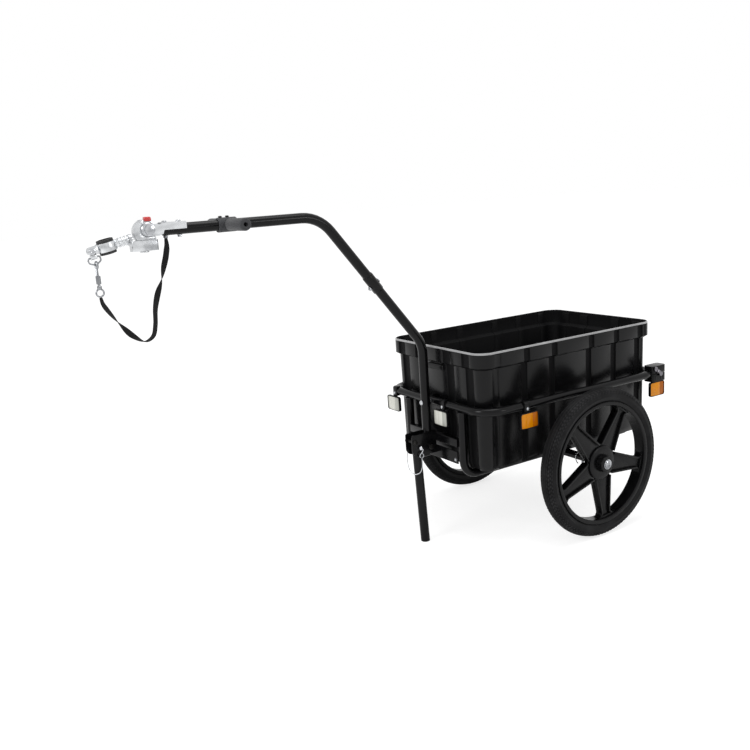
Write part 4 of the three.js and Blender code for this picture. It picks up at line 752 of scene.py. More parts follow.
@dataclass
class Frame:
    """The bent steel tubes that carry the tub, with their welds."""

    tube_radius: float = 11
    hoop_z: float = 390
    half_width: float = 216
    hoop_bend: float = 60
    front_x: float = 334.5
    rear_x: float = -306.5
    runner_y: float = 118
    runner_bend: float = 40
    floor_z: float = 217
    axle_end: float = 239
    axle_z: float = 205

    @property
    def runner_z(self) -> float:
        """Height of the base tubes' middle."""
        return self.floor_z - GAP - self.tube_radius

    def measure(self) -> None:
        """Takes the hoop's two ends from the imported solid, so that nothing drifts from it."""
        low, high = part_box("hoop_tube")
        self.front_x = (high.x - AXLE_X) / MM - self.tube_radius
        self.rear_x = (low.x - AXLE_X) / MM + self.tube_radius

    def hoop_path(self) -> list[Vector]:
        """Returns the hoop's line as a closed path that starts at the middle of the rear."""
        x0, x1, y, z = self.rear_x, self.front_x, self.half_width, self.hoop_z
        corners = [Vector(p) for p in ((x0, 0, z), (x0, y, z), (x1, y, z), (x1, -y, z), (x0, -y, z),
                                       (x0, 0, z))]
        return bent_path(corners, self.hoop_bend)[:-1]

    def bead(self, middle: Vector, axis: Vector, radius: float) -> Shape:
        """Returns the rippled weld bead round a tube's end."""
        side, up = axes_along(axis.normalized())
        steps = 56
        points = []
        for k in range(steps):
            a = 2 * math.pi * k / steps
            ripple = 0.35 * math.sin(a * 14)
            points.append(middle + side * ((radius + ripple) * math.cos(a))
                          + up * ((radius + ripple) * math.sin(a)))
        return rod(points, 1.9, 8, closed=True)

    def base(self) -> tuple[Shape, Shape]:
        """Returns the base tubes with the axle tube, and their weld beads."""
        tubes, beads = [], []
        top = self.hoop_z - self.tube_radius - GAP
        for side in (1, -1):
            y = side * self.runner_y
            corners = [Vector(p) for p in ((self.front_x, y, top), (self.front_x, y, self.runner_z),
                                           (self.rear_x, y, self.runner_z), (self.rear_x, y, top))]
            tubes.append(tube(bent_path(corners, self.runner_bend), self.tube_radius, 1.6, 36))
            for x in (self.front_x, self.rear_x):
                beads.append(self.bead(Vector((x, y, top)), Vector((0, 0, 1)), self.tube_radius - 0.6))
            for end in (1, -1):
                beads.append(self.bead(Vector((0, y + end * self.tube_radius * 0.9, self.axle_z)),
                                       Vector((0, 1, 0)), self.tube_radius + 0.2))
        ends = [Vector((0, -self.axle_end, self.axle_z)), Vector((0, self.axle_end, self.axle_z))]
        tubes.append(tube(ends, self.tube_radius, 3, 36))
        return joined(tubes), joined(beads)

    def build(self) -> None:
        """Makes the hoop, the base and the two cross members."""
        self.measure()
        Piece("hoop", rod(self.hoop_path(), self.tube_radius, 40, closed=True), POWDER_COAT, "trailer",
              ("hoop_tube",)).make()
        tubes, beads = self.base()
        Piece("base_tubes", tubes, POWDER_COAT, "trailer", ("base_frame",)).make()
        Piece("base_welds", beads, POWDER_COAT, "trailer").make()
        for node, radius in (("front_cross_bar", 2.2), ("front_cross_plate", 1.2)):
            low, high = (self._back(corner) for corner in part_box(node))
            outline = rounded(low.x, low.z, high.x, high.z, min(radius, (high.x - low.x) / 2.2), 4)
            Piece(f"{node}_painted", plate(outline, low.y, high.y), POWDER_COAT, "trailer", (node,),
                  0.4).make()
        x = self.front_x + self.tube_radius
        bolts = joined(bolt_head(Vector((x + 0.4, y, z)), Vector((1, 0, 0)), 4.2, 2.8)
                       for y, z in ((99, 248), (-99, 248)))
        Piece("cross_plate_bolts", bolts, ZINC_PLATE, "trailer", (), 0.2).make()

    @staticmethod
    def _back(corner: Vector) -> Vector:
        """Returns a packed corner in millimetres from the axle."""
        return Vector(((corner.x - AXLE_X) / MM, corner.y / MM, corner.z / MM))


# The drawbar


@dataclass
class Drawbar:
    """The cranked drawbar in two tubes, its bracket, its bolts and its T handle."""

    frame: Frame
    radius: float = 12.5
    wall: float = 2
    column_x: float = 364
    foot_z: float = 253
    slope: float = 51.4
    corner_z: float = 551.4
    lower_bend: float = 80
    top_z: float = 905
    upper_bend: float = 100
    end_x: float = 1035
    joint_share: float = 0.528
    sleeve_wall: float = 1.8
    sleeve_below: float = 36
    sleeve_above: float = 16
    bolt_back: float = 16
    foot_bolt_z: float = 270
    hoop_bolt_z: float = 392
    half_width: float = 16
    sheet: float = 3
    length: float = 80
    low_z: float = 251
    high_z: float = 312
    handle_x: float = 882
    handle_half: float = 100
    handle_radius: float = 14
    sleeve_radius: float = 16.5

    @property
    def run(self) -> Vector:
        """The way the sloping part runs."""
        turn = math.radians(self.slope)
        return Vector((math.cos(turn), 0, math.sin(turn)))

    @property
    def rise(self) -> Vector:
        """Upward, square to the sloping part."""
        turn = math.radians(self.slope)
        return Vector((-math.sin(turn), 0, math.cos(turn)))

    @property
    def corner(self) -> Vector:
        """Where the column's line meets the sloping part's line."""
        return Vector((self.column_x, 0, self.corner_z))

    @property
    def joint(self) -> Vector:
        """Where the lower tube ends inside the sleeve."""
        return self.corner + self.run * ((self.top_z - self.corner_z) / self.run.z * self.joint_share)

    def lower_tube(self) -> Shape:
        """Returns the column and the first part of the slope."""
        path = bent_path([Vector((self.column_x, 0, self.foot_z)), self.corner, self.joint],
                         self.lower_bend)
        return tube(path, self.radius, self.wall, 48)

    def upper_tube(self) -> Shape:
        """Returns the rest of the slope and the level part, with the swaged sleeve."""
        top = self.corner + self.run * ((self.top_z - self.corner_z) / self.run.z)
        path = bent_path([self.joint + self.run * GAP, top, Vector((self.end_x, 0, self.top_z))],
                         self.upper_bend)
        outer = self.radius + GAP + self.sleeve_wall
        sleeve = turned([(self.radius + GAP, 0), (outer - 0.5, 0), (outer, 0.8),
                         (outer, self.sleeve_below + self.sleeve_above - 5),
                         (outer - 0.7, self.sleeve_below + self.sleeve_above - 1.5),
                         (self.radius + 0.1, self.sleeve_below + self.sleeve_above)],
                        self.joint - self.run * self.sleeve_below, self.run, 48)
        return tube(path, self.radius, self.wall, 48) + sleeve

    def bracket(self) -> Shape:
        """Returns the folded channel that holds the column and the stand."""
        x0 = self.frame.front_x + self.frame.tube_radius + 2 * GAP
        x1 = x0 + self.length
        outline = ([(x0, self.low_z)] + arc((x1 - 20, self.low_z + 20), 20, -90, 0, 10)
                   + arc((x1 - 6, self.high_z - 6), 6, 0, 90, 5) + [(x0, self.high_z)])
        inner = self.half_width - self.sheet
        peg = turned([(2.5, 0), (2.5, 2.6), (2.0, 3.0)],
                     Vector((413, -self.half_width, 257)), Vector((0, -1, 0)), 18)
        return (plate(outline, inner, self.half_width) + plate(outline, -self.half_width, -inner)
                + box(x0, -self.half_width, self.low_z, x0 + self.sheet, self.half_width, self.high_z)
                + peg)

    def bolts(self) -> None:
        """Makes the bolts through the two tubes, the bracket and the hoop."""
        way = self.rise
        middle = self.joint - self.run * self.bolt_back
        grip = self.radius + GAP + self.sleeve_wall + GAP
        through = (rod([middle - way * (grip + 3.6), middle + way * (grip + 1)], 3)
                   + bolt_head(middle + way * grip, way, 6, 3.6, 0)
                   + bolt_head(middle - way * grip, -way, 6, 3.6)
                   + rod([middle - way * (grip + 3.4), middle - way * (grip + 5.4)], 2.8))
        Piece("joint_bolt", through, ZINC_PLATE, "trailer", ("drawbar_joint_bolt",), 0.15).make()
        z, x = self.hoop_bolt_z, self.column_x + self.radius + GAP
        spacer = turned([(7, 0), (7, x - 2 * self.radius - 2 * GAP - self.frame.front_x
                                  - self.frame.tube_radius)],
                        Vector((self.frame.front_x + self.frame.tube_radius + GAP, 0, z)),
                        Vector((1, 0, 0)), 28)
        Piece("hoop_bolt", bolt_head(Vector((x, 0, z)), Vector((1, 0, 0)), 6, 3.6, 0) + spacer
              + rod([Vector((self.frame.front_x + 5.5, 0, z)), Vector((x + 1, 0, z))], 3),
              ZINC_PLATE, "trailer", ("drawbar_hoop_bolt",), 0.15).make()
        Piece("foot_bolt", cross_bolt(self.column_x, self.foot_bolt_z, self.half_width, 4, 7, 5),
              BLACKENED_STEEL, "trailer", ("drawbar_foot_bolt",), 0.2).make()

    def handle(self) -> None:
        """Makes the moulded sleeve, the two foam grips and the sleeve's screws."""
        x, z = self.handle_x, self.top_z
        sleeve = ring_turned([(self.radius + GAP, -20), (self.sleeve_radius - 1.2, -20),
                              (self.sleeve_radius, -18.6), (self.sleeve_radius, 24.6),
                              (self.sleeve_radius - 1.2, 26), (self.radius + GAP, 26)],
                             Vector((x, 0, z)), Vector((1, 0, 0)), 48)
        grips = []
        for side in (1, -1):
            r, start, end = self.handle_radius, 14.0, self.handle_half
            profile = [(r - 2, start), (r, start + 4), (r, end - 5), (r - 0.8, end - 1.4), (r - 2.4, end),
                       (5.4, end), (5, end - 0.8), (5, end - 55), (0.3, end - 55)]
            grips.append(turned(profile, Vector((x, 0, z)), Vector((0, side, 0)), 48))
        Piece("t_handle_foam", joined(grips) + sleeve, FOAM_RUBBER, "trailer", ("t_handle",), 0.3,
              smooth_deg=40).make()
        for name, at in (("handle_rear_screw", x), ("handle_front_screw", x + 17)):
            top = Vector((at, 0, z + self.sleeve_radius + GAP))
            screw = bolt_head(top, Vector((0, 0, 1)), 4.3, 3.5, 0) + rod(
                [top - Vector((0, 0, 10)), top + Vector((0, 0, 1))], 3)
            Piece(f"{name}_black", screw, BLACKENED_STEEL, "trailer", (name,)).make()

    def build(self) -> None:
        """Makes the drawbar."""
        Piece("drawbar_column", self.lower_tube(), POWDER_COAT, "trailer", ("drawbar_lower_tube",)).make()
        Piece("drawbar_arm", self.upper_tube(), POWDER_COAT, "trailer", ("drawbar_upper_tube",),
              smooth_deg=40).make()
        Piece("drawbar_foot_bracket", self.bracket(), POWDER_COAT, "trailer", ("drawbar_bracket",),
              0.7).make()
        self.bolts()
        self.handle()


def cross_bolt(x: float, z: float, half: float, radius: float, across: float, height: float) -> Shape:
    """Returns a bolt along Y with its head on the left and its nut on the right."""
    left, right = Vector((x, half + GAP, z)), Vector((x, -half - GAP, z))
    return (rod([right - Vector((0, height + 1.5, 0)), left + Vector((0, 1, 0))], radius)
            + bolt_head(left, Vector((0, 1, 0)), across, height)
            + bolt_head(right, Vector((0, -1, 0)), across, height))


# The stand


@dataclass
class Stand:
    """The leg under the drawbar with its stop bolt, its lock pin and the pin's wire."""

    half_width: float = 16
    radius: float = 12.5
    wall: float = 2
    pivot_x: float = 402
    pivot_z: float = 275
    foot_x: float = 389
    crown_reach: float = 9.5
    plug_height: float = 5
    pin_radius: float = 4
    ball_radius: float = 6
    tail_length: float = 15
    ring_radius: float = 6
    wire_radius: float = 1.5

    @property
    def pivot(self) -> Vector:
        """The lock pin's middle, about which the leg folds."""
        return Vector((self.pivot_x, 0, self.pivot_z))

    @property
    def down(self) -> Vector:
        """The way the leg points."""
        return (Vector((self.foot_x, 0, 0)) - self.pivot).normalized()

    def at(self, reach: float, y: float = 0.0) -> Vector:
        """Returns a point along the leg's line, counted from the pin."""
        point = self.pivot + self.down * reach
        return Vector((point.x, y, point.z))

    def leg(self) -> Shape:
        """Returns the leg, with its round crown seen from the side."""
        long = (Vector((self.foot_x, 0, 0)) - self.pivot).length - self.plug_height - GAP
        body = tube([self.at(-self.crown_reach + 1), self.at(long)], self.radius, self.wall, 48)
        side = Vector((0, 1, 0)).cross(self.down)
        crown = []
        for k in range(13):
            turn = math.pi * k / 12
            crown.append(self.at(-self.crown_reach) - self.down * (self.radius * math.sin(turn))
                         + side * (self.radius * math.cos(turn)))
        walls = [loft([[p + Vector((0, y, 0)) for p in crown] for y in (low, high)])
                 for low, high in ((9.2, 11.4), (-11.4, -9.2))]
        return body + joined(walls)

    def stop_bolt(self) -> Shape:
        """Returns the bolt that the leg's crown rests against."""
        reach = self.radius + 4 + GAP
        crown = self.at(-self.crown_reach)
        rise = self.pivot_z + reach - crown.z
        x = crown.x + math.sqrt(reach ** 2 - rise ** 2)
        return cross_bolt(x, self.pivot_z + reach, self.half_width, 4, 7, 5)

    def foot(self) -> Shape:
        """Returns the plug in the leg's end, cut level with the ground."""
        length = (Vector((self.foot_x, 0, 0)) - self.pivot).length
        side, up = axes_along(self.down)
        rings = []
        for reach, radius in ((length - 19, 10), (length - 5, 10), (length - 5, 12.2),
                              (length - 1.4, 12.5), (length, 11.8)):
            centre = self.at(reach)
            ring = [centre + side * (radius * math.cos(k * math.pi / 16))
                    + up * (radius * math.sin(k * math.pi / 16)) for k in range(32)]
            rings.append([Vector((p.x, p.y, max(p.z, 0.0))) for p in ring])
        rings[-1] = [Vector((p.x, p.y, 0.0)) for p in rings[-1]]
        return loft(rings)

    def pin(self) -> Shape:
        """Returns the lock pin with its ball, its bent wire and its pull ring."""
        y = self.half_width + self.ball_radius + GAP
        head = self.at(0, y)
        shaft = turned([(2.4, 0), (self.pin_radius, 2.2), (self.pin_radius, self.half_width + 3 + y)],
                       self.at(0, -self.half_width - 3), Vector((0, 1, 0)), 28)
        tail = bent_path([head, self.at(3, y) - Vector((9, 0, 0)), self.at(self.tail_length, y)], 5)
        ring = wire_ring(self.at(self.tail_length + self.ring_radius, y), self.ring_radius,
                         self.wire_radius, Vector((0, 1, 0)))
        return shaft + ball(head, self.ball_radius) + rod(tail, self.wire_radius, 14) + ring

    def tether(self) -> None:
        """Makes the wire loop from the pin's ring to the peg on the bracket's far side."""
        y = self.half_width + self.ball_radius + GAP
        start = self.at(self.tail_length + self.ring_radius * 2 + self.wire_radius + GAP, y)
        route = [start] + [Vector(p) for p in ((402, 23, 222), (408, 19, 206), (417, 8, 201),
                                               (421, -8, 208), (420, -19, 224), (416, -27, 242),
                                               (413, -26, 255))]
        route.append(Vector((413, -self.half_width - 3 - GAP, 257)))
        path = spline(route, 48)
        strands = rod(path, 1.1, 14)
        wire = Piece("lock_pin_wire", strands, WIRE_ROPE, "trailer", ("lock_pin_lanyard",)).make(ride=False)
        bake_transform(wire)

    def build(self) -> None:
        """Makes the stand."""
        Piece("stand_tube", self.leg(), POWDER_COAT, "stand", ("stand_leg",)).make()
        Piece("stand_foot", self.foot(), NYLON, "stand", ("stand_foot_plug",), 0.3).make()
        Piece("stop_bolt", self.stop_bolt(), BLACKENED_STEEL, "trailer", ("stand_stop_bolt",), 0.2).make()
        Piece("lock_pin_bright", self.pin(), ZINC_PLATE, "lock_pin", ("stand_lock_pin",)).make()
        self.tether()


# The wheels


@dataclass
class Wheel:
    """A 16 inch wheel: tyre, five-spoked plastic rim, bearing, axle and lock pin."""

    side: int
    prefix: str
    radius: float = 205
    tyre_radius: float = 22
    track_half: float = 279
    rim_radius: float = 172
    rim_depth: float = 15
    rim_half: float = 19.5
    rim_wall: float = 3
    hub_radius: float = 25
    hub_start: float = 243.6
    hub_length: float = 64
    spoke_count: int = 5
    spoke_phase: float = -95
    hub_width: float = 66
    end_width: float = 28
    thickness: float = 22
    axle_end: float = 239
    pin_inset: float = 22

    @property
    def body(self) -> str:
        """The body that turns."""
        return f"{self.prefix}_wheel"

    @property
    def centre(self) -> Vector:
        """The wheel's middle on the left side."""
        return Vector((0, self.track_half, self.radius))

    def tyre(self) -> Shape:
        """Returns the tyre: round tread with three grooves, plain walls and its beads."""
        centre = self.radius - self.tyre_radius
        seat = self.rim_half - self.rim_wall - GAP
        foot = 180 - math.degrees(math.asin(seat / self.tyre_radius))
        bead = self.rim_radius - self.rim_depth + self.rim_wall + GAP
        outer = []
        for k in range(61):
            turn = -foot + 2 * foot * k / 60
            groove = 1.3 if any(abs(abs(turn) - at) < 2.3 for at in (0.0, 17.0, 31.0)) else 0.0
            step = 0.7 if abs(turn) > 50 else 0.0
            ridge = 0.7 if 92 < abs(turn) < 98 else 0.0
            r = self.tyre_radius - groove - step + ridge
            outer.append((centre + r * math.cos(math.radians(turn)), r * math.sin(math.radians(turn))))
        profile = [(bead, -seat), *outer, (bead, seat), (bead, seat - 4), (centre - 12, seat - 4),
                   (centre + 6, 14), (centre + 17, 0), (centre + 6, -14), (centre - 12, 4 - seat),
                   (bead, 4 - seat)]
        return ring_turned(profile, self.centre, Vector((0, 1, 0)), 144)

    def tread_cuts(self) -> Shape:
        """Returns the small raised blocks between the tread's grooves."""
        blocks = []
        centre = self.radius - self.tyre_radius
        # Each row: where it starts and ends round the section, how far its blocks lean and rise.
        rows = ((3.4, 14.2, 0.9, 0.0), (20.0, 28.6, -0.9, 0.0), (34.0, 44.0, 0.7, 0.9),
                (48.0, 56.0, -0.5, 0.9), (60.0, 66.0, 0.4, 0.8))
        for k in range(110):
            for row, (low, high, lean, rise) in enumerate(rows):
                turn = 360 * (k + 0.5 * (row % 2)) / 110
                for way in (1, -1):
                    corners = []
                    for reach in (self.tyre_radius - 1.2, self.tyre_radius - 0.05 + rise):
                        for tilt, spread in ((low, -0.85), (high, -0.85), (high, 0.85), (low, 0.85)):
                            a = math.radians(tilt * way)
                            r = centre + reach * math.cos(a)
                            b = math.radians(turn + spread + lean * (tilt - low) / (high - low))
                            corners.append(Vector((r * math.cos(b), self.track_half + reach * math.sin(a),
                                                   self.radius + r * math.sin(b))))
                    blocks.append(Shape(corners, [(3, 2, 1, 0), (4, 5, 6, 7), (0, 1, 5, 4), (1, 2, 6, 5),
                                                  (2, 3, 7, 6), (3, 0, 4, 7)]))
        return joined_fast(blocks)

    def rim(self) -> Shape:
        """Returns the rim's channel, the five spokes and the hub."""
        half, foot = self.rim_half, self.rim_radius - self.rim_depth
        floor, lip = foot + self.rim_wall, self.rim_radius - 4
        channel = ring_turned(
            [(foot, -half + 3), (foot + 2.4, -half), (lip - 0.8, -half), (lip, -half + 0.8),
             (lip, -half + self.rim_wall), (floor, -half + self.rim_wall),
             (floor, half - self.rim_wall), (lip, half - self.rim_wall), (lip, half - 0.8),
             (lip - 0.8, half), (foot + 2.4, half), (foot, half - 3)],
            self.centre, Vector((0, 1, 0)), 120)
        spokes = joined(self.spoke(k) for k in range(self.spoke_count))
        start = Vector((0, self.hub_start, self.radius))
        way, long = Vector((0, 1, 0)), self.hub_length
        hub = ring_turned([(11.3, 0), (self.hub_radius - 5, 0), (self.hub_radius - 3.4, 1.6),
                           (self.hub_radius - 1.6, 14), (self.hub_radius, 20), (self.hub_radius, long - 20),
                           (self.hub_radius - 1.6, long - 14), (self.hub_radius - 3.4, long - 1.6),
                           (self.hub_radius - 5, long), (11.3, long)], start, way, 64)
        face = self.thickness / 2 + 0.3
        boss = ring_turned([(20, -face), (42, -face), (46, 2 - face), (46, face - 2), (42, face), (20, face)],
                           self.centre, way, 64)
        return channel + spokes + hub + boss

    def spoke(self, index: int) -> Shape:
        """Returns one spoke: a thin web between two raised edges, which narrows to the rim."""
        inner, outer = 16.0, self.rim_radius - self.rim_depth + 1.5
        half, edge = self.thickness / 2, 5.0
        w0, w1 = self.hub_width / 2, self.end_width / 2

        def wide(r: float) -> float:
            return w0 + (w1 - w0) * (r - inner) / (outer - inner)

        flare = [(r, wide(r)) for r in (inner, 44.0, 80.0, outer - 24)]
        flare += [(outer - 14, w1 + 2.5), (outer - 7, w1 + 7.0), (outer - 3, w1 + 13.0),
                  (outer, w1 + 24.0)]
        web = plate(flare + [(x, -z) for x, z in flare[::-1]], -5, 5)
        ribs = [plate(self._rib(flare[1:], way, edge), -half, half) for way in (1, -1)]
        foot = plate([(outer - 7, -w1 - 7), (outer, -w1 - 24), (outer, w1 + 24), (outer - 7, w1 + 7)],
                     0.2 - half, half - 0.2)
        turn = -math.radians(self.spoke_phase + 360 * index / self.spoke_count)
        spin = Matrix.Translation(self.centre) @ Matrix.Rotation(turn, 4, "Y")
        return joined([web, *ribs, foot]).moved(spin)

    @staticmethod
    def _rib(flare: Sequence, way: int, edge: float) -> list:
        """Returns the outline of the raised edge along one side of a spoke."""
        outside = [(x, z * way) for x, z in flare]
        return outside + [(x, (z - edge) * way) for x, z in flare[::-1]]

    def axle(self) -> Shape:
        """Returns the axle: its flange by the tube's end and its domed nut outside the hub."""
        end = self.hub_start + self.hub_length + GAP
        way = Vector((0, 1, 0))
        flange = self.axle_end + GAP
        inside = turned([(7.7, self.axle_end - 52), (7.7, flange), (13, flange), (13, flange + 4),
                         (6, flange + 4), (6, end)], Vector((0, 0, self.radius)), way, 36)
        nut = turned([(13.5, 0), (13.5, 1.4), (11.6, 1.6), (11.2, 3.6), (9.2, 4.8), (4.4, 5.5), (3.6, 4.6),
                      (0.4, 4.6)], Vector((0, end, self.radius)), way, 40)
        return inside + nut

    def lock_pin(self) -> Shape:
        """Returns the axle's lock pin with its wire bail, sprung open beside the tube."""
        y = self.axle_end - self.pin_inset
        top, foot = self.radius + 11 + 6.5 + GAP, self.radius - 11 - 8
        bail = spline([Vector((0, y, top)), Vector((24, y, self.radius + 11)),
                       Vector((24, y, self.radius - 5.5)), Vector((17, y, foot + 4))], 30)
        pin = turned([(2.6, 0), (4, 1.6), (4, top - foot)], Vector((0, y, foot)), Vector((0, 0, 1)), 24)
        return pin + ball(Vector((0, y, top)), 6.3) + rod(bail, 1.4, 12, ends=0.4)

    def build(self) -> None:
        """Makes the wheel."""
        name = self.prefix
        Piece(f"{name}_tyre_black", self.tyre().on_side(self.side), TYRE_RUBBER, self.body,
              (f"{name}_tyre",), smooth_deg=40).make()
        Piece(f"{name}_tyre_tread", self.tread_cuts().on_side(self.side), SCUFFED_RUBBER,
              self.body).make()
        Piece(f"{name}_rim_spoked", self.rim().on_side(self.side), NYLON, self.body,
              (f"{name}_wheel_rim",), 0.7).make()
        Piece(f"{name}_axle_bright", self.axle().on_side(self.side), ZINC_PLATE, "trailer",
              (f"{name}_wheel_axle",), smooth_deg=36).make()
        Piece(f"{name}_pin_bright", self.lock_pin().on_side(self.side), ZINC_PLATE,
              f"{name}_axle_pin", (f"{name}_axle_lock_pin",)).make()


def joined_fast(shapes: Sequence[Shape]) -> Shape:
    """Returns many small surfaces as one without copying the whole each time."""
    points: list[Vector] = []
    faces: list[tuple[int, ...]] = []
    for shape in shapes:
        start = len(points)
        points.extend(shape.points)
        faces.extend(tuple(i + start for i in face) for face in shape.faces)
    return Shape(points, faces)


# Reflectors and corner clamps


@dataclass
class Reflector:
    """A reflector in its black tray, hung from the hoop, facing +X before it is turned."""

    name: str
    place: Vector
    turn: float
    light: Finish
    dark: Finish
    width: float = 60
    height: float = 42
    depth: float = 8
    drop: float = 35
    strip: float = 3
    clip: float = 13.8
    hoop_radius: float = 11
    hangs: bool = True

    def matrix(self) -> Matrix:
        """Returns the move from the reflector's own frame to the trailer's."""
        return Matrix.Translation(self.place) @ Matrix.Rotation(math.radians(self.turn), 4, "Z")

    def zones(self, x: float, z: float) -> list[tuple[Shape, Finish]]:
        """Returns the lens in its three zones, the outer two leaning outwards."""
        half, tall, front = self.width / 2 - 2, self.height / 2 - 2, x + self.depth
        cut = half / 3
        corner = 4.0
        outline = rounded(-half, -tall, half, tall, corner, 5)
        zones = []
        for low, high, lean in ((-half, -cut, 1), (-cut, cut, 0), (cut, half, -1)):
            part = clip_outline(outline, low, high)
            back = [Vector((x + 3, y, z + h)) for y, h in part]
            face = [Vector((front - 0.3 - 1.6 * abs(lean) * abs(y - (high if lean > 0 else low))
                            / (high - low), y, z + h)) for y, h in part]
            # The zone that leans the other way takes the dark finish, painted shade on that facet; the rest
            # take the light one.
            zones.append((loft([back, face]), self.dark if lean < 0 else self.light))
        return zones

    def tray(self, x: float, z: float) -> Shape:
        """Returns the black tray round the lens."""
        half, tall = self.width / 2, self.height / 2
        outer = rounded(-half, -tall, half, tall, 6, 6)
        inner = rounded(-half + 1.9, -tall + 1.9, half - 1.9, tall - 1.9, 4.2, 6)
        rings = [[Vector((at, y, z + h)) for y, h in outline] for at, outline in (
            (x, outer), (x + self.depth - 0.8, outer), (x + self.depth, inner), (x + 3, inner))]
        return loft(rings)

    def hanger(self) -> Shape:
        """Returns the moulded saddle and strip that hang the tray from the hoop."""
        face = self.hoop_radius + GAP + self.strip
        half, r = 9.0, self.clip
        outline = [(0, r), *arc((face - 6, r - 6), 6, 90, 0, 6), (face, -self.drop - 8),
                   (face - self.strip, -self.drop - 8), (face - self.strip, -r), (0, -r),
                   *arc((0, 0), self.hoop_radius + GAP, -90, 90, 14)]
        return plate(outline, -half, half)

    def build(self) -> None:
        """Makes the reflector and its hanger."""
        x = self.hoop_radius + GAP + self.strip + GAP if self.hangs else 0.0
        z = -self.drop if self.hangs else 0.0
        move = self.matrix()
        Piece(f"{self.name}_tray", self.tray(x, z).moved(move), NYLON, "trailer",
              (f"{self.name}_reflector",), 0.25).make()
        for index, (shape, finish) in enumerate(self.zones(x, z)):
            lens = Piece(f"{self.name}_lens_{index + 1}", shape.moved(move), finish, "trailer", (),
                         0.25).make()
        if self.hangs:
            Piece(f"{self.name}_hanger", self.hanger().moved(move), NYLON, "trailer",
                  (f"{self.name}_reflector_bracket",), 0.5).make()
            top = Vector((x - GAP, 0, -6))
            screw = bolt_head(top, Vector((1, 0, 0)), 4.2, 3.0, 0).moved(move)
            Piece(f"{self.name}_screw", screw, ZINC_PLATE, "trailer").make()


def clip_outline(outline: Sequence, low: float, high: float) -> list:
    """Returns the part of a flat outline between two upright lines."""
    kept = []
    for (x0, z0), (x1, z1) in zip(outline, list(outline[1:]) + [outline[0]]):
        if low - 1e-6 <= x0 <= high + 1e-6:
            kept.append((x0, z0))
        for edge in sorted((low, high), key=lambda value: abs(value - x0)):
            if (x0 - edge) * (x1 - edge) < 0:
                kept.append((edge, z0 + (z1 - z0) * (edge - x0) / (x1 - x0)))
    return kept


@dataclass
class CornerClamp:
    """The moulded clamp on one rear corner of the hoop, with its wing screw and reflector."""

    side: int
    prefix: str
    frame: Frame
    ahead: float = 29
    behind: float = 28
    inward: float = 26
    outward: float = 8
    below: float = 24
    above: float = 22
    corner: float = 8
    screw_ahead: float = 10
    screw_rise: float = 7
    wing_tilt: float = 38
    lens_ahead: float = 8
    lens_inset: float = 8

    @property
    def low_z(self) -> float:
        """Height of the block's underside."""
        return self.frame.hoop_z - self.below

    @property
    def outer_y(self) -> float:
        """Where the block's outer face lies."""
        return self.frame.half_width + self.outward

    @property
    def lens_place(self) -> Vector:
        """The middle of the reflector's back on the left side."""
        return Vector((self.frame.rear_x + self.lens_ahead, self.outer_y - self.lens_inset + GAP,
                       self.low_z - GAP - 21))

    def blocks(self) -> Shape:
        """Returns the clamp's two halves and the strip that carries the reflector."""
        rear, front = self.frame.rear_x - self.behind, self.frame.rear_x + self.ahead
        inner, outer = self.frame.half_width - self.inward, self.outer_y
        high, split = self.frame.hoop_z + self.above, self.frame.hoop_z
        outline = rounded(rear, inner, front, outer, self.corner, 8)
        halves = slab(outline, self.low_z, split - 1) + slab(outline, split + 1, high)
        hinge = box(self.frame.rear_x + 4, inner + 3, split - 2, front - 3, outer - 3, split + 2)
        x, y = self.lens_place.x, self.outer_y - self.lens_inset
        strip = plate(rounded(x - 9, self.low_z - 31, x + 9, self.low_z + 3, 2, 3), y - 3, y)
        ribs = joined(plate(rounded(at - 1.6, self.low_z + 4, at + 1.6, split - 6, 1.2, 3),
                            outer - 1, outer + 0.6) for at in (rear + 12, rear + 22, rear + 44))
        return halves + hinge + strip + ribs

    def wing_screw(self) -> Shape:
        """Returns the screw that stands out of the outer face, with its two wings."""
        way = Vector((0, 1, 0))
        seat = self.outer_y + GAP
        shaft = turned([(3.4, seat - 12), (4, seat - 11), (4, seat + 4)], Vector(), way, 24)
        hub = turned([(7, seat), (7, seat + 2.4), (5.4, seat + 6), (4.6, seat + 9)], Vector(), way, 28)
        wings = []
        for end in (1, -1):
            outline = ([(end * 3, -3.2), (end * 8, -3.8)]
                       + [(end * (13 + 6.8 * math.cos(t)), 6.8 * math.sin(t))
                          for t in (math.radians(-110 + 24.5 * k) for k in range(10))]
                       + [(end * 8, 3.8), (end * 3, 3.2)])
            wings.append(plate(outline, seat + 2.7, seat + 6.3))
        spin = Matrix.Translation((self.frame.rear_x + self.screw_ahead, 0,
                                   self.frame.hoop_z + self.screw_rise))
        tilt = Matrix.Rotation(-math.radians(self.wing_tilt), 4, "Y")
        return (shaft + hub + joined(wings)).moved(spin @ tilt)

    def build(self) -> None:
        """Makes the clamp, its screw and its reflector."""
        name = self.prefix
        Piece(f"{name}_clamp_halves", self.blocks().on_side(self.side), NYLON, "trailer",
              (f"{name}_corner_clamp",), 1.2, 3).make()
        Piece(f"{name}_wing_bright", self.wing_screw().on_side(self.side), DULL_ZINC, f"{name}_wing",
              (f"{name}_wing_screw",), 0.5).make()
        place = self.lens_place
        place.y *= self.side
        Reflector(f"{name}_rear", place, 90 * self.side, AMBER_ACRYLIC, AMBER_ACRYLIC_PAINTED_SHADE,
                  hangs=False).build()


# The hitch


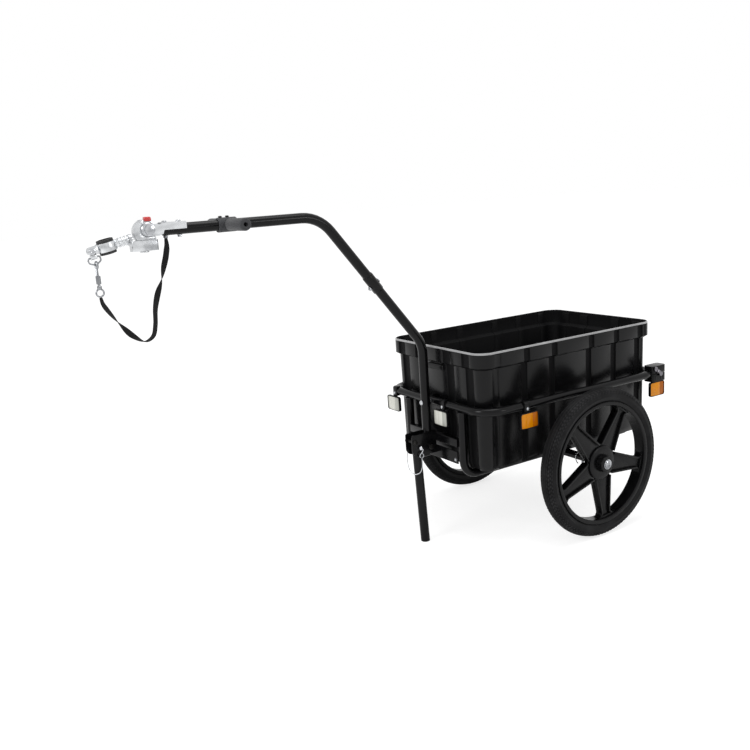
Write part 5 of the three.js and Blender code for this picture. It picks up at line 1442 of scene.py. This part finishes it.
@dataclass
class Hitch:
    """The coupling on the drawbar's end and the swivelling seat-post clamp."""

    top_z: float = 905
    bar_radius: float = 12.5
    rear_x: float = 984
    sheet: float = 3
    half_width: float = 15.8
    web_end: float = 1037
    end_x: float = 1035
    front_bolt: float = 1029
    rear_bolt: float = 997
    eye_x: float = 1069
    eye_z: float = 908
    eye_radius: float = 14
    bush_radius: float = 15
    latch_clearance: float = 1.2
    swivel_x: float = 1079
    low_z: float = 864
    high_z: float = 886.7
    tilt: float = 12
    nose_x: float = 1112
    nose_z: float = 890.5
    centre: float = 48
    lug_reach: float = 34
    bore: float = 14.3
    liner_wall: float = 3.5
    band_wall: float = 3.4
    band_half: float = 9.5
    liner_half: float = 15.5
    split: float = 4
    lug_width: float = 6
    lug_radius: float = 8.5
    ear_drop: float = 13

    @property
    def nose(self) -> Matrix:
        """The move from the clamp's own tilted frame to the trailer's."""
        return (Matrix.Translation((self.nose_x, 0, self.nose_z))
                @ Matrix.Rotation(math.radians(self.tilt), 4, "Y"))

    @property
    def bolt_reach(self) -> float:
        """How far the clamp's bolt lies from the swivel's face."""
        return self.centre + self.lug_reach

    @property
    def bow(self) -> Vector:
        """The lowest point of the D ring's bow."""
        return self.nose @ Vector((self.bolt_reach, self.split / 2 + self.lug_width / 2,
                                   -self.ear_drop - 17))

    def shank(self) -> Shape:
        """Returns the folded channel on the drawbar's end with its two cheeks."""
        top = self.top_z + self.bar_radius + GAP + self.sheet
        low = self.eye_z - self.eye_radius
        cheek = [(self.rear_x, self.top_z), (self.end_x, self.top_z), (self.end_x + 3, low + 3),
                 (self.end_x + 12, low), *arc((self.eye_x, self.eye_z), self.eye_radius, -90, 90, 20),
                 (self.web_end + 6, top - 3), (self.web_end, top), (self.rear_x, top)]
        inner = self.half_width - self.sheet
        web = box(self.rear_x, -self.half_width, top - self.sheet, self.web_end, self.half_width, top)
        return plate(cheek, inner, self.half_width) + plate(cheek, -self.half_width, -inner) + web

    def shank_bolt(self, x: float) -> Shape:
        """Returns one of the two bolts that hold the channel to the tube."""
        top = Vector((x, 0, self.top_z + self.bar_radius + 2 * GAP + self.sheet))
        low = Vector((x, 0, self.top_z - self.bar_radius - GAP))
        up = Vector((0, 0, 1))
        return (bolt_head(top, up, 5.3, 3.6, 0) + bolt_head(low, -up, 5.3, 5)
                + rod([low - up * 4.9, top + up], 3))

    def cross_bolt(self) -> Shape:
        """Returns the big bolt that the hook hangs on."""
        left = Vector((self.eye_x, self.half_width + GAP, self.eye_z))
        right = Vector((self.eye_x, -self.half_width - GAP, self.eye_z))
        way = Vector((0, 1, 0))
        return (rod([right - way * 9, left + way], 6, 32) + bolt_head(left, way, 12.0, 8)
                + bolt_head(right, -way, 12.0, 8))

    def bush(self) -> Shape:
        """Returns the roller between the cheeks that the hook closes on."""
        half = self.half_width - self.sheet - GAP
        return ring_turned([(6.3, -half), (14.2, -half), (15, -half + 0.8), (15, half - 0.8), (14.2, half),
                            (6.3, half)], Vector((self.eye_x, 0, self.eye_z)), Vector((0, 1, 0)), 48)

    def hook(self) -> Shape:
        """Returns the hook with its spigot through the swivel block."""
        floor = self.high_z + GAP
        inner = self.bush_radius + GAP
        tip_x = self.eye_x + inner * math.cos(math.radians(55))
        start = math.degrees(math.asin((floor - 904) / 27))
        end = math.degrees(math.acos((tip_x - 1073) / 27))
        mouth = [(x, z) for x, z in arc((self.eye_x, self.eye_z), inner, 55, -125, 26)]
        outline = ([(1053, floor)] + arc((1073, 904), 27, start, end, 22) + mouth + [(1053, 893)])
        cheeks = [plate(outline, low, high) for low, high in ((3.4, 9), (-9, -3.4))]
        filled = [p for p in outline if p[1] < 917.5]
        core = plate(filled, -3.5, 3.5)
        rivet = turned([(2.2, -9.6), (3.6, -9.2), (3.6, -9), (2.5, -9), (2.5, 9), (3.6, 9), (3.6, 9.2),
                        (2.2, 9.6)], Vector((1083, 0, 925)), Vector((0, 1, 0)), 24)
        up = Vector((0, 0, 1))
        under = self.low_z - GAP
        spigot = (rod([Vector((self.swivel_x, 0, under - 2)), Vector((self.swivel_x, 0, floor + 1))], 7)
                  + turned([(9.2, 0), (10, 0.7), (10, 3)], Vector((self.swivel_x, 0, under - 3)), up, 36))
        return joined(cheeks) + core + rivet + spigot

    def latch(self) -> Shape:
        """Returns the safety latch over the bush."""
        inner = self.bush_radius + self.latch_clearance
        outer = inner + 5
        start = math.degrees(math.atan2(925 - self.eye_z, 1083 - self.eye_x))
        centre = (self.eye_x, self.eye_z)
        outline = arc(centre, outer, start, 150, 18) + arc(centre, inner, 150, start, 18)
        tab = box(1062, -3, self.eye_z + inner + 1, 1072, 3, 932.2)
        return plate(outline, -3, 3) + tab + turned([(5, -3), (5, 3)], Vector((1083, 0, 925)),
                                                    Vector((0, 1, 0)), 28)

    def cap(self) -> Shape:
        """Returns the dipped red cap on the latch's tab."""
        rings = []
        for z, grow in ((926, 0.0), (927, 0.5), (933.5, 0.3), (935.0, -1.0), (935.5, -2.6)):
            rings.append([Vector((x, y, z)) for x, y in rounded(1058.6 - grow, -6.2 - grow * 0.6,
                                                               1073.6 + grow * 0.2, 6.2 + grow * 0.6,
                                                               2.6, 5)])
        return loft(rings)

    def swivel(self) -> Shape:
        """Returns the block that turns under the hook, with its nose for the clamp."""
        outline = rounded(1050, -12.4, 1108, 12.4, 4, 6)
        block = slab(outline, self.low_z, self.high_z)
        lug = turned([(11, -9), (11, -0.8), (10.2, 0)], Vector((0, 0, 0)), Vector((1, 0, 0)), 40)
        foot = box(-9, -10.7, -self.nose_z + self.high_z - 11, 0, 10.7, 0)
        return block + (lug + foot).moved(self.nose)

    def clamp(self) -> Shape:
        """Returns the neck, the split band and the two lugs."""
        inner, outer = self.bore + self.liner_wall + GAP, self.bore + self.liner_wall + GAP + self.band_wall
        way = Vector((1, 0, 0))
        neck = turned([(5, -8), (5, 0.3), (9, 0.3), (9, 3), (11, 4.2), (11, 7), (9.4, 8), (9.4, 11),
                       (11, 12), (11, 14.5), (9.4, 15.5), (9.4, 18), (11, 19), (11, 21.5), (9, 22.5),
                       (9, self.centre - inner)], Vector((0, 0, 0)), way, 36)
        gap_turn = math.degrees(math.asin(self.split / 2 / inner))
        c = (self.centre, 0)
        band = arc(c, outer, gap_turn, 360 - gap_turn, 56) + arc(c, inner, 360 - gap_turn, gap_turn, 56)
        h = self.band_half
        rings = [[Vector((x, y, z)) for x, y in band] for z in (-h, h)]
        lugs = []
        for way_y in (1, -1):
            y0, y1 = way_y * self.split / 2, way_y * (self.split / 2 + self.lug_width)
            outline = ([(self.centre + 17, -self.lug_radius)]
                       + arc((self.bolt_reach, 0), self.lug_radius, -90, 90, 16)
                       + [(self.centre + 17, self.lug_radius)])
            lugs.append(plate(outline, min(y0, y1), max(y0, y1)))
        ear_y = self.split / 2 + self.lug_width / 2
        ear = (plate([(self.bolt_reach - 7, -self.ear_drop), (self.bolt_reach + 7, -self.ear_drop),
                      (self.bolt_reach + 4, 0), (self.bolt_reach - 7, 0)], self.split / 2,
                     self.split / 2 + self.lug_width)
               + ring_turned([(2.1, -7), (4.2, -7), (4.5, -6.6), (4.5, 6.6), (4.2, 7), (2.1, 7)],
                             Vector((self.bolt_reach, ear_y, -self.ear_drop)), way, 24))
        return (neck + loft(rings) + joined(lugs) + ear).moved(self.nose)

    def liner(self) -> Shape:
        """Returns the rubber sleeve in the band, with a flange above and below."""
        inner, outer = self.bore, self.bore + self.liner_wall
        h, half = self.liner_half, self.band_half
        cut = math.degrees(math.asin(1.0 / inner))
        rings = []
        steps = 60
        profile = [(inner, -h), (outer - 0.6, -h), (outer, -h + 0.6), (outer, -half - 0.6),
                   (outer - 0.1, -half), (outer - 0.1, half), (outer, half + 0.6), (outer, h - 0.6),
                   (outer - 0.6, h), (inner, h)]
        for k in range(steps + 1):
            turn = math.radians(cut + (360 - 2 * cut) * k / steps)
            rings.append([Vector((self.centre + r * math.cos(turn), r * math.sin(turn), z))
                          for r, z in profile])
        return loft(rings).moved(self.nose)

    def clamp_bolt(self) -> Shape:
        """Returns the bolt that closes the band."""
        half = self.split / 2 + self.lug_width
        way = Vector((0, 1, 0))
        left, right = Vector((self.bolt_reach, half + GAP, 0)), Vector((self.bolt_reach, -half - GAP, 0))
        head = turned([(7.4, 0), (7.4, 3.4), (6.6, 5), (3.2, 5.5), (3.0, 3.2), (0.3, 3.2)], left, way, 32)
        return (head + bolt_head(right, -way, 6.6, 5.5) + rod([right - way * 6, left + way], 4)
                ).moved(self.nose)

    def d_ring(self) -> Shape:
        """Returns the D ring with its straight bar in the clamp's ear."""
        half, depth = 13.7, 17.0
        middle = Vector((self.bolt_reach, self.split / 2 + self.lug_width / 2, -self.ear_drop))
        corners = [Vector(p) for p in ((0, 0, 0), (half, 0, 0), (half * 0.9, 0, -depth * 0.6),
                                       (0, 0, -depth), (-half * 0.9, 0, -depth * 0.6), (-half, 0, 0),
                                       (0, 0, 0))]
        points = [p + middle for p in bent_path(corners, 4.2)[:-1]]
        return rod(points, 1.8, 16, closed=True).moved(self.nose)

    def snap_levels(self) -> tuple[float, float, float]:
        """Returns the snap hook's barrel height, its eye's height and the eye's foot."""
        shank_top = self.bow.z - 3.6 - 6.5
        barrel = shank_top - 34
        eye = barrel - 8 - 8 + 2
        return barrel, eye, eye - 8 - 2

    def snap_hook(self) -> Shape:
        """Returns the snap hook: bent hook, spring gate, swivel barrel and eye."""
        barrel, eye, _ = self.snap_levels()
        x, y, z = self.bow
        path = [Vector((x, y, barrel))]
        for k in range(1, 33):
            turn = math.radians(20) + (2 * math.pi - 2 * math.radians(20)) * k / 32
            path.append(Vector((x, y - 6.5 * math.sin(turn), z - 6.5 * math.cos(turn))))
        hook = rod(path, 2.8, 20) + ball(path[-1], 2.8, 14)
        gate = rod([path[-1] + Vector((0, 0.2, -1)), Vector((x, y + 0.6, barrel + 6))], 1.5, 14)
        ferrule = turned([(2.6, 0), (4.4, 1), (5, 2), (5, 8), (4.2, 9), (2.4, 9.6)],
                         Vector((x, y, barrel - 8)), Vector((0, 0, 1)), 28)
        slider = turned([(2.8, 0), (5.2, 0.8), (5.2, 17.5), (2.8, 18.4)], Vector((x, y, barrel + 4)),
                        Vector((0, 0, 1)), 24)
        return hook + gate + ferrule + slider + wire_ring(Vector((x, y, eye)), 8, 2, Vector((0, 1, 0)))

    def build(self) -> None:
        """Makes the coupling and the clamp."""
        make = [
            ("shank_channel", self.shank(), TUMBLED_ALUMINIUM, "trailer", "coupling_shank", 0.5),
            ("shank_front_bolt", self.shank_bolt(self.front_bolt), ZINC_PLATE, "trailer",
             "coupling_front_bolt", 0.15),
            ("shank_rear_bolt", self.shank_bolt(self.rear_bolt), ZINC_PLATE, "trailer",
             "coupling_rear_bolt", 0.15),
            ("hook_bolt", self.cross_bolt(), ZINC_PLATE, "trailer", "hitch_cross_bolt", 0.3),
            ("hook_roller", self.bush(), ZINC_PLATE, "trailer", "hitch_bush", 0.0),
            ("hook_cast", self.hook(), TUMBLED_ALUMINIUM, "hook", "hitch_hook", 0.8),
            ("latch_plated", self.latch(), ZINC_PLATE, "latch", "safety_latch", 0.3),
            ("latch_red_cap", self.cap(), RED_VINYL, "latch", "latch_cap", 0.4),
            ("swivel_cast", self.swivel(), TUMBLED_ALUMINIUM, "swivel", "swivel_block", 0.8),
            ("post_clamp_cast", self.clamp(), TUMBLED_ALUMINIUM, "clamp", "seat_post_clamp", 0.5),
            ("post_clamp_liner", self.liner(), LINER_RUBBER, "clamp", "clamp_liner", 0.0),
            ("post_clamp_bolt", self.clamp_bolt(), ZINC_PLATE, "clamp", "clamp_bolt", 0.15),
            ("d_ring_bright", self.d_ring(), BENT_STEEL, "clamp", "d_ring", 0.0),
            ("snap_hook_bright", self.snap_hook(), BENT_STEEL, "clamp", "snap_hook", 0.0),
        ]
        for name, shape, finish, body, node, bevel in make:
            Piece(name, shape, finish, body, (node,), bevel).make()


# The safety strap


@dataclass
class SafetyStrap:
    """The flat webbing from the drawbar's end to the snap hook, in one piece for each joint it crosses."""

    hitch: Hitch
    width: float = 13
    thickness: float = 1.7
    steps: int = 132
    twists: float = 1.35
    shares: tuple = (0.0, 0.42, 0.66, 1.0)

    def route(self) -> list[Vector]:
        """Returns the strap's line, read off the photograph."""
        hitch = self.hitch
        start = Vector((hitch.front_bolt, 0, hitch.top_z - hitch.bar_radius - GAP - 5 - GAP))
        foot = hitch.snap_levels()[2] - GAP
        inner = ((1029, 0, 870), (1034, 0, 847), (1041, 0, 826), (1050, 0, 796), (1062, 0, 768),
                 (1071, 0, 736), (1075, 0, 702), (1083, 0, 678), (1102, 1, 669), (1126, 2, 684),
                 (1148, 3, 708), (1168, 4, 736), (1183, 5, 762))
        return [start, *(Vector(p) for p in inner), Vector((hitch.bow.x, hitch.bow.y, foot))]

    def section(self, share: float) -> list:
        """Returns the webbing's outline, turned as it twists and folded narrow at its two ends."""
        near_end = min(share, 1 - share) * 16
        fold = min(1.0, 0.55 + 0.45 * near_end)
        half, thick = self.width / 2 * fold, self.thickness / 2 / fold
        turn = 2 * math.pi * self.twists * (share - 0.08 * math.sin(4 * math.pi * share))
        outline = rounded(-half, -thick, half, thick, thick * 0.9, 4)
        return [(a * math.cos(turn) - b * math.sin(turn), a * math.sin(turn) + b * math.cos(turn))
                for a, b in outline]

    def build(self) -> None:
        """Makes the three stretches, split at the joints and attached to no body."""
        points = spline(self.route(), self.steps)
        ways = headings(points)
        side = axes_along(ways[0])[0]
        rings = []
        for k, (point, way) in enumerate(zip(points, ways)):
            side = (side - way * side.dot(way)).normalized()
            up = way.cross(side)
            rings.append([point + side * a + up * b for a, b in self.section(k / self.steps)])
        chain = (("strap_rear", "trailer", "hook"), ("strap_middle", "hook", "swivel"),
                 ("strap_front", "swivel", "clamp"))
        for (node, before, after), low, high in zip(chain, self.shares, self.shares[1:]):
            i, k = round(low * self.steps), round(high * self.steps)
            stretch = Piece(f"{node}_webbing", loft(rings[i:k + 1]), WEBBING, before,
                            (node,)).make(ride=False)
            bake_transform(stretch)


# The studio


@dataclass
class Studio:
    """The photograph's viewpoint, a pale floor and soft light."""

    place: tuple = (1659.956, 1841.066, 963.888)
    yaw: float = -2.126
    pitch: float = 0.214
    roll: float = -0.067
    focal_pixels: float = 859.348

    def camera(self) -> None:
        """Stands the camera where the photograph was taken from."""
        ahead = Vector((math.cos(self.yaw) * math.cos(self.pitch),
                        math.sin(self.yaw) * math.cos(self.pitch), -math.sin(self.pitch)))
        right = ahead.cross(Vector((0, 0, 1))).normalized()
        up = right.cross(ahead)
        c, s = math.cos(self.roll), math.sin(self.roll)
        right, up = right * c + up * s, up * c - right * s
        data = bpy.data.cameras.new("photo_view")
        data.sensor_width = 36
        data.lens = self.focal_pixels / PHOTO_PIXELS * data.sensor_width
        camera = bpy.data.objects.new("photo_view", data)
        turn = Matrix((right, up, -ahead)).transposed().to_4x4()
        camera.matrix_world = Matrix.Translation(placed(Vector(self.place))) @ turn
        bpy.context.scene.collection.objects.link(camera)
        bpy.context.scene.camera = camera

    def floor(self) -> None:
        """Lays the pale floor."""
        mesh = bpy.data.meshes.new("studio_floor")
        reach = 30.0
        corners = [(-reach, -reach), (reach, -reach), (reach, reach), (-reach, reach)]
        mesh.from_pydata([(x, y, 0) for x, y in corners], [], [(0, 1, 2, 3)])
        floor = bpy.data.objects.new("studio_floor", mesh)
        bpy.context.scene.collection.objects.link(floor)
        material = bpy.data.materials.new("pale_studio_floor")
        material.use_nodes = True
        tree = material.node_tree
        tree.nodes.clear()
        matt = add_node(tree, "ShaderNodeBsdfDiffuse", {}, {"Color": linear("#fdfdfd")})
        glow = add_node(tree, "ShaderNodeEmission", {}, {"Color": (1, 1, 1, 1), "Strength": 1.32})
        rays = add_node(tree, "ShaderNodeLightPath")
        share = add_node(tree, "ShaderNodeMath", {"operation": "MULTIPLY"},
                         {0: rays.outputs["Is Camera Ray"], 1: 0.55})
        mixed = add_node(tree, "ShaderNodeMixShader", {}, {"Fac": share.outputs["Value"]})
        tree.links.new(matt.outputs[0], mixed.inputs[1])
        tree.links.new(glow.outputs[0], mixed.inputs[2])
        add_node(tree, "ShaderNodeOutputMaterial", {}, {"Surface": mixed.outputs[0]})
        mesh.materials.append(material)

    def lamp(self, name: str, place: tuple, aim: tuple, size: float, power: float) -> None:
        """Hangs one soft square lamp, its places in metres."""
        data = bpy.data.lights.new(name, "AREA")
        data.size, data.energy = size, power
        lamp = bpy.data.objects.new(name, data)
        away = (Vector(place) - Vector(aim)).normalized()
        lamp.rotation_euler = away.to_track_quat("Z", "Y").to_euler()
        lamp.location = place
        bpy.context.scene.collection.objects.link(lamp)

    def light(self) -> None:
        """Sets the lamps and the white surroundings."""
        self.lamp("key_softbox", (3.4, 0.4, 2.2), (0, 0, 0.4), 1.4, 46)
        self.lamp("top_softbox", (-0.2, 0.4, 3.4), (0, 0, 0.3), 1.8, 34)
        self.lamp("side_softbox", (-1.6, 3.4, 1.5), (0, 0, 0.3), 0.9, 14)
        world = bpy.data.worlds.new("white_studio")
        bpy.context.scene.world = world
        world.use_nodes = True
        tree = world.node_tree
        tree.nodes.clear()
        dim = add_node(tree, "ShaderNodeBackground", {}, {"Color": (1, 1, 1, 1), "Strength": 0.85})
        white = add_node(tree, "ShaderNodeBackground", {}, {"Color": (1, 1, 1, 1), "Strength": 1.0})
        rays = add_node(tree, "ShaderNodeLightPath")
        seen = rays.outputs["Is Camera Ray"]
        for other in ("Is Glossy Ray", "Is Transmission Ray"):
            seen = add_node(tree, "ShaderNodeMath", {"operation": "MAXIMUM"},
                            {0: seen, 1: rays.outputs[other]}).outputs["Value"]
        mixed = add_node(tree, "ShaderNodeMixShader", {}, {"Fac": seen})
        tree.links.new(dim.outputs[0], mixed.inputs[1])
        tree.links.new(white.outputs[0], mixed.inputs[2])
        add_node(tree, "ShaderNodeOutputWorld", {}, {"Surface": mixed.outputs[0]})
        bpy.context.scene.view_settings.view_transform = "Standard"

    def build(self) -> None:
        """Makes the camera, the floor and the light."""
        self.camera()
        self.floor()
        self.light()


def dress_kept_nodes() -> None:
    """Gives every CAD node that stays in sight its own material."""
    finishes = {
        "tub_plastic": POLYPROPYLENE, "frame_paint": POWDER_COAT, "black_steel": BLACKENED_STEEL,
        "black_plastic": NYLON, "wheel_plastic": NYLON, "tyre_rubber": TYRE_RUBBER,
        "grip_rubber": FOAM_RUBBER, "liner_rubber": LINER_RUBBER, "zinc_steel": ZINC_PLATE,
        "steel_wire": WIRE_ROPE, "cast_aluminium": TUMBLED_ALUMINIUM, "orange_lens": AMBER_ACRYLIC,
        "white_lens": CLEAR_ACRYLIC, "red_plastic": RED_VINYL, "webbing": WEBBING,
    }
    slots = {part["node"]: part["material_slot"] for part in frame["record"]["subparts"]}
    for name, thing in frame["nodes"].items():
        for place in thing.material_slots:
            place.material = material_of(finishes[slots[name]])


def main() -> None:
    """Builds the studio, the cords and then every sub-assembly."""
    logging.basicConfig(level=logging.INFO, format="%(message)s")
    Studio().build()
    hitch, stand, hoop = Hitch(), Stand(), Frame()
    SafetyStrap(hitch).build()
    stand.build()
    Tub().build()
    hoop.build()
    Drawbar(hoop).build()
    for side, prefix in ((1, "left"), (-1, "right")):
        Wheel(side, prefix).build()
        CornerClamp(side, prefix, hoop).build()
    bend, right_y = hoop.hoop_bend, 40 - hoop.half_width
    across = -right_y - (hoop.half_width - bend)
    bend_x = hoop.front_x - bend + math.sqrt(bend ** 2 - across ** 2)
    z = hoop.hoop_z
    Reflector("front_left", Vector((hoop.front_x, 53, z)), 0, CLEAR_ACRYLIC, CLEAR_ACRYLIC_PAINTED_SHADE).build()
    Reflector("front_right", Vector((bend_x, right_y, z)), 0, CLEAR_ACRYLIC, CLEAR_ACRYLIC_PAINTED_SHADE).build()
    Reflector("side_left", Vector((207, hoop.half_width, z)), 90, AMBER_ACRYLIC,
              AMBER_ACRYLIC_PAINTED_SHADE).build()
    Reflector("side_right", Vector((207, -hoop.half_width, z)), -90, AMBER_ACRYLIC,
              AMBER_ACRYLIC_PAINTED_SHADE).build()
    hitch.build()
    dress_kept_nodes()


if __name__ == "__main__":
    main()
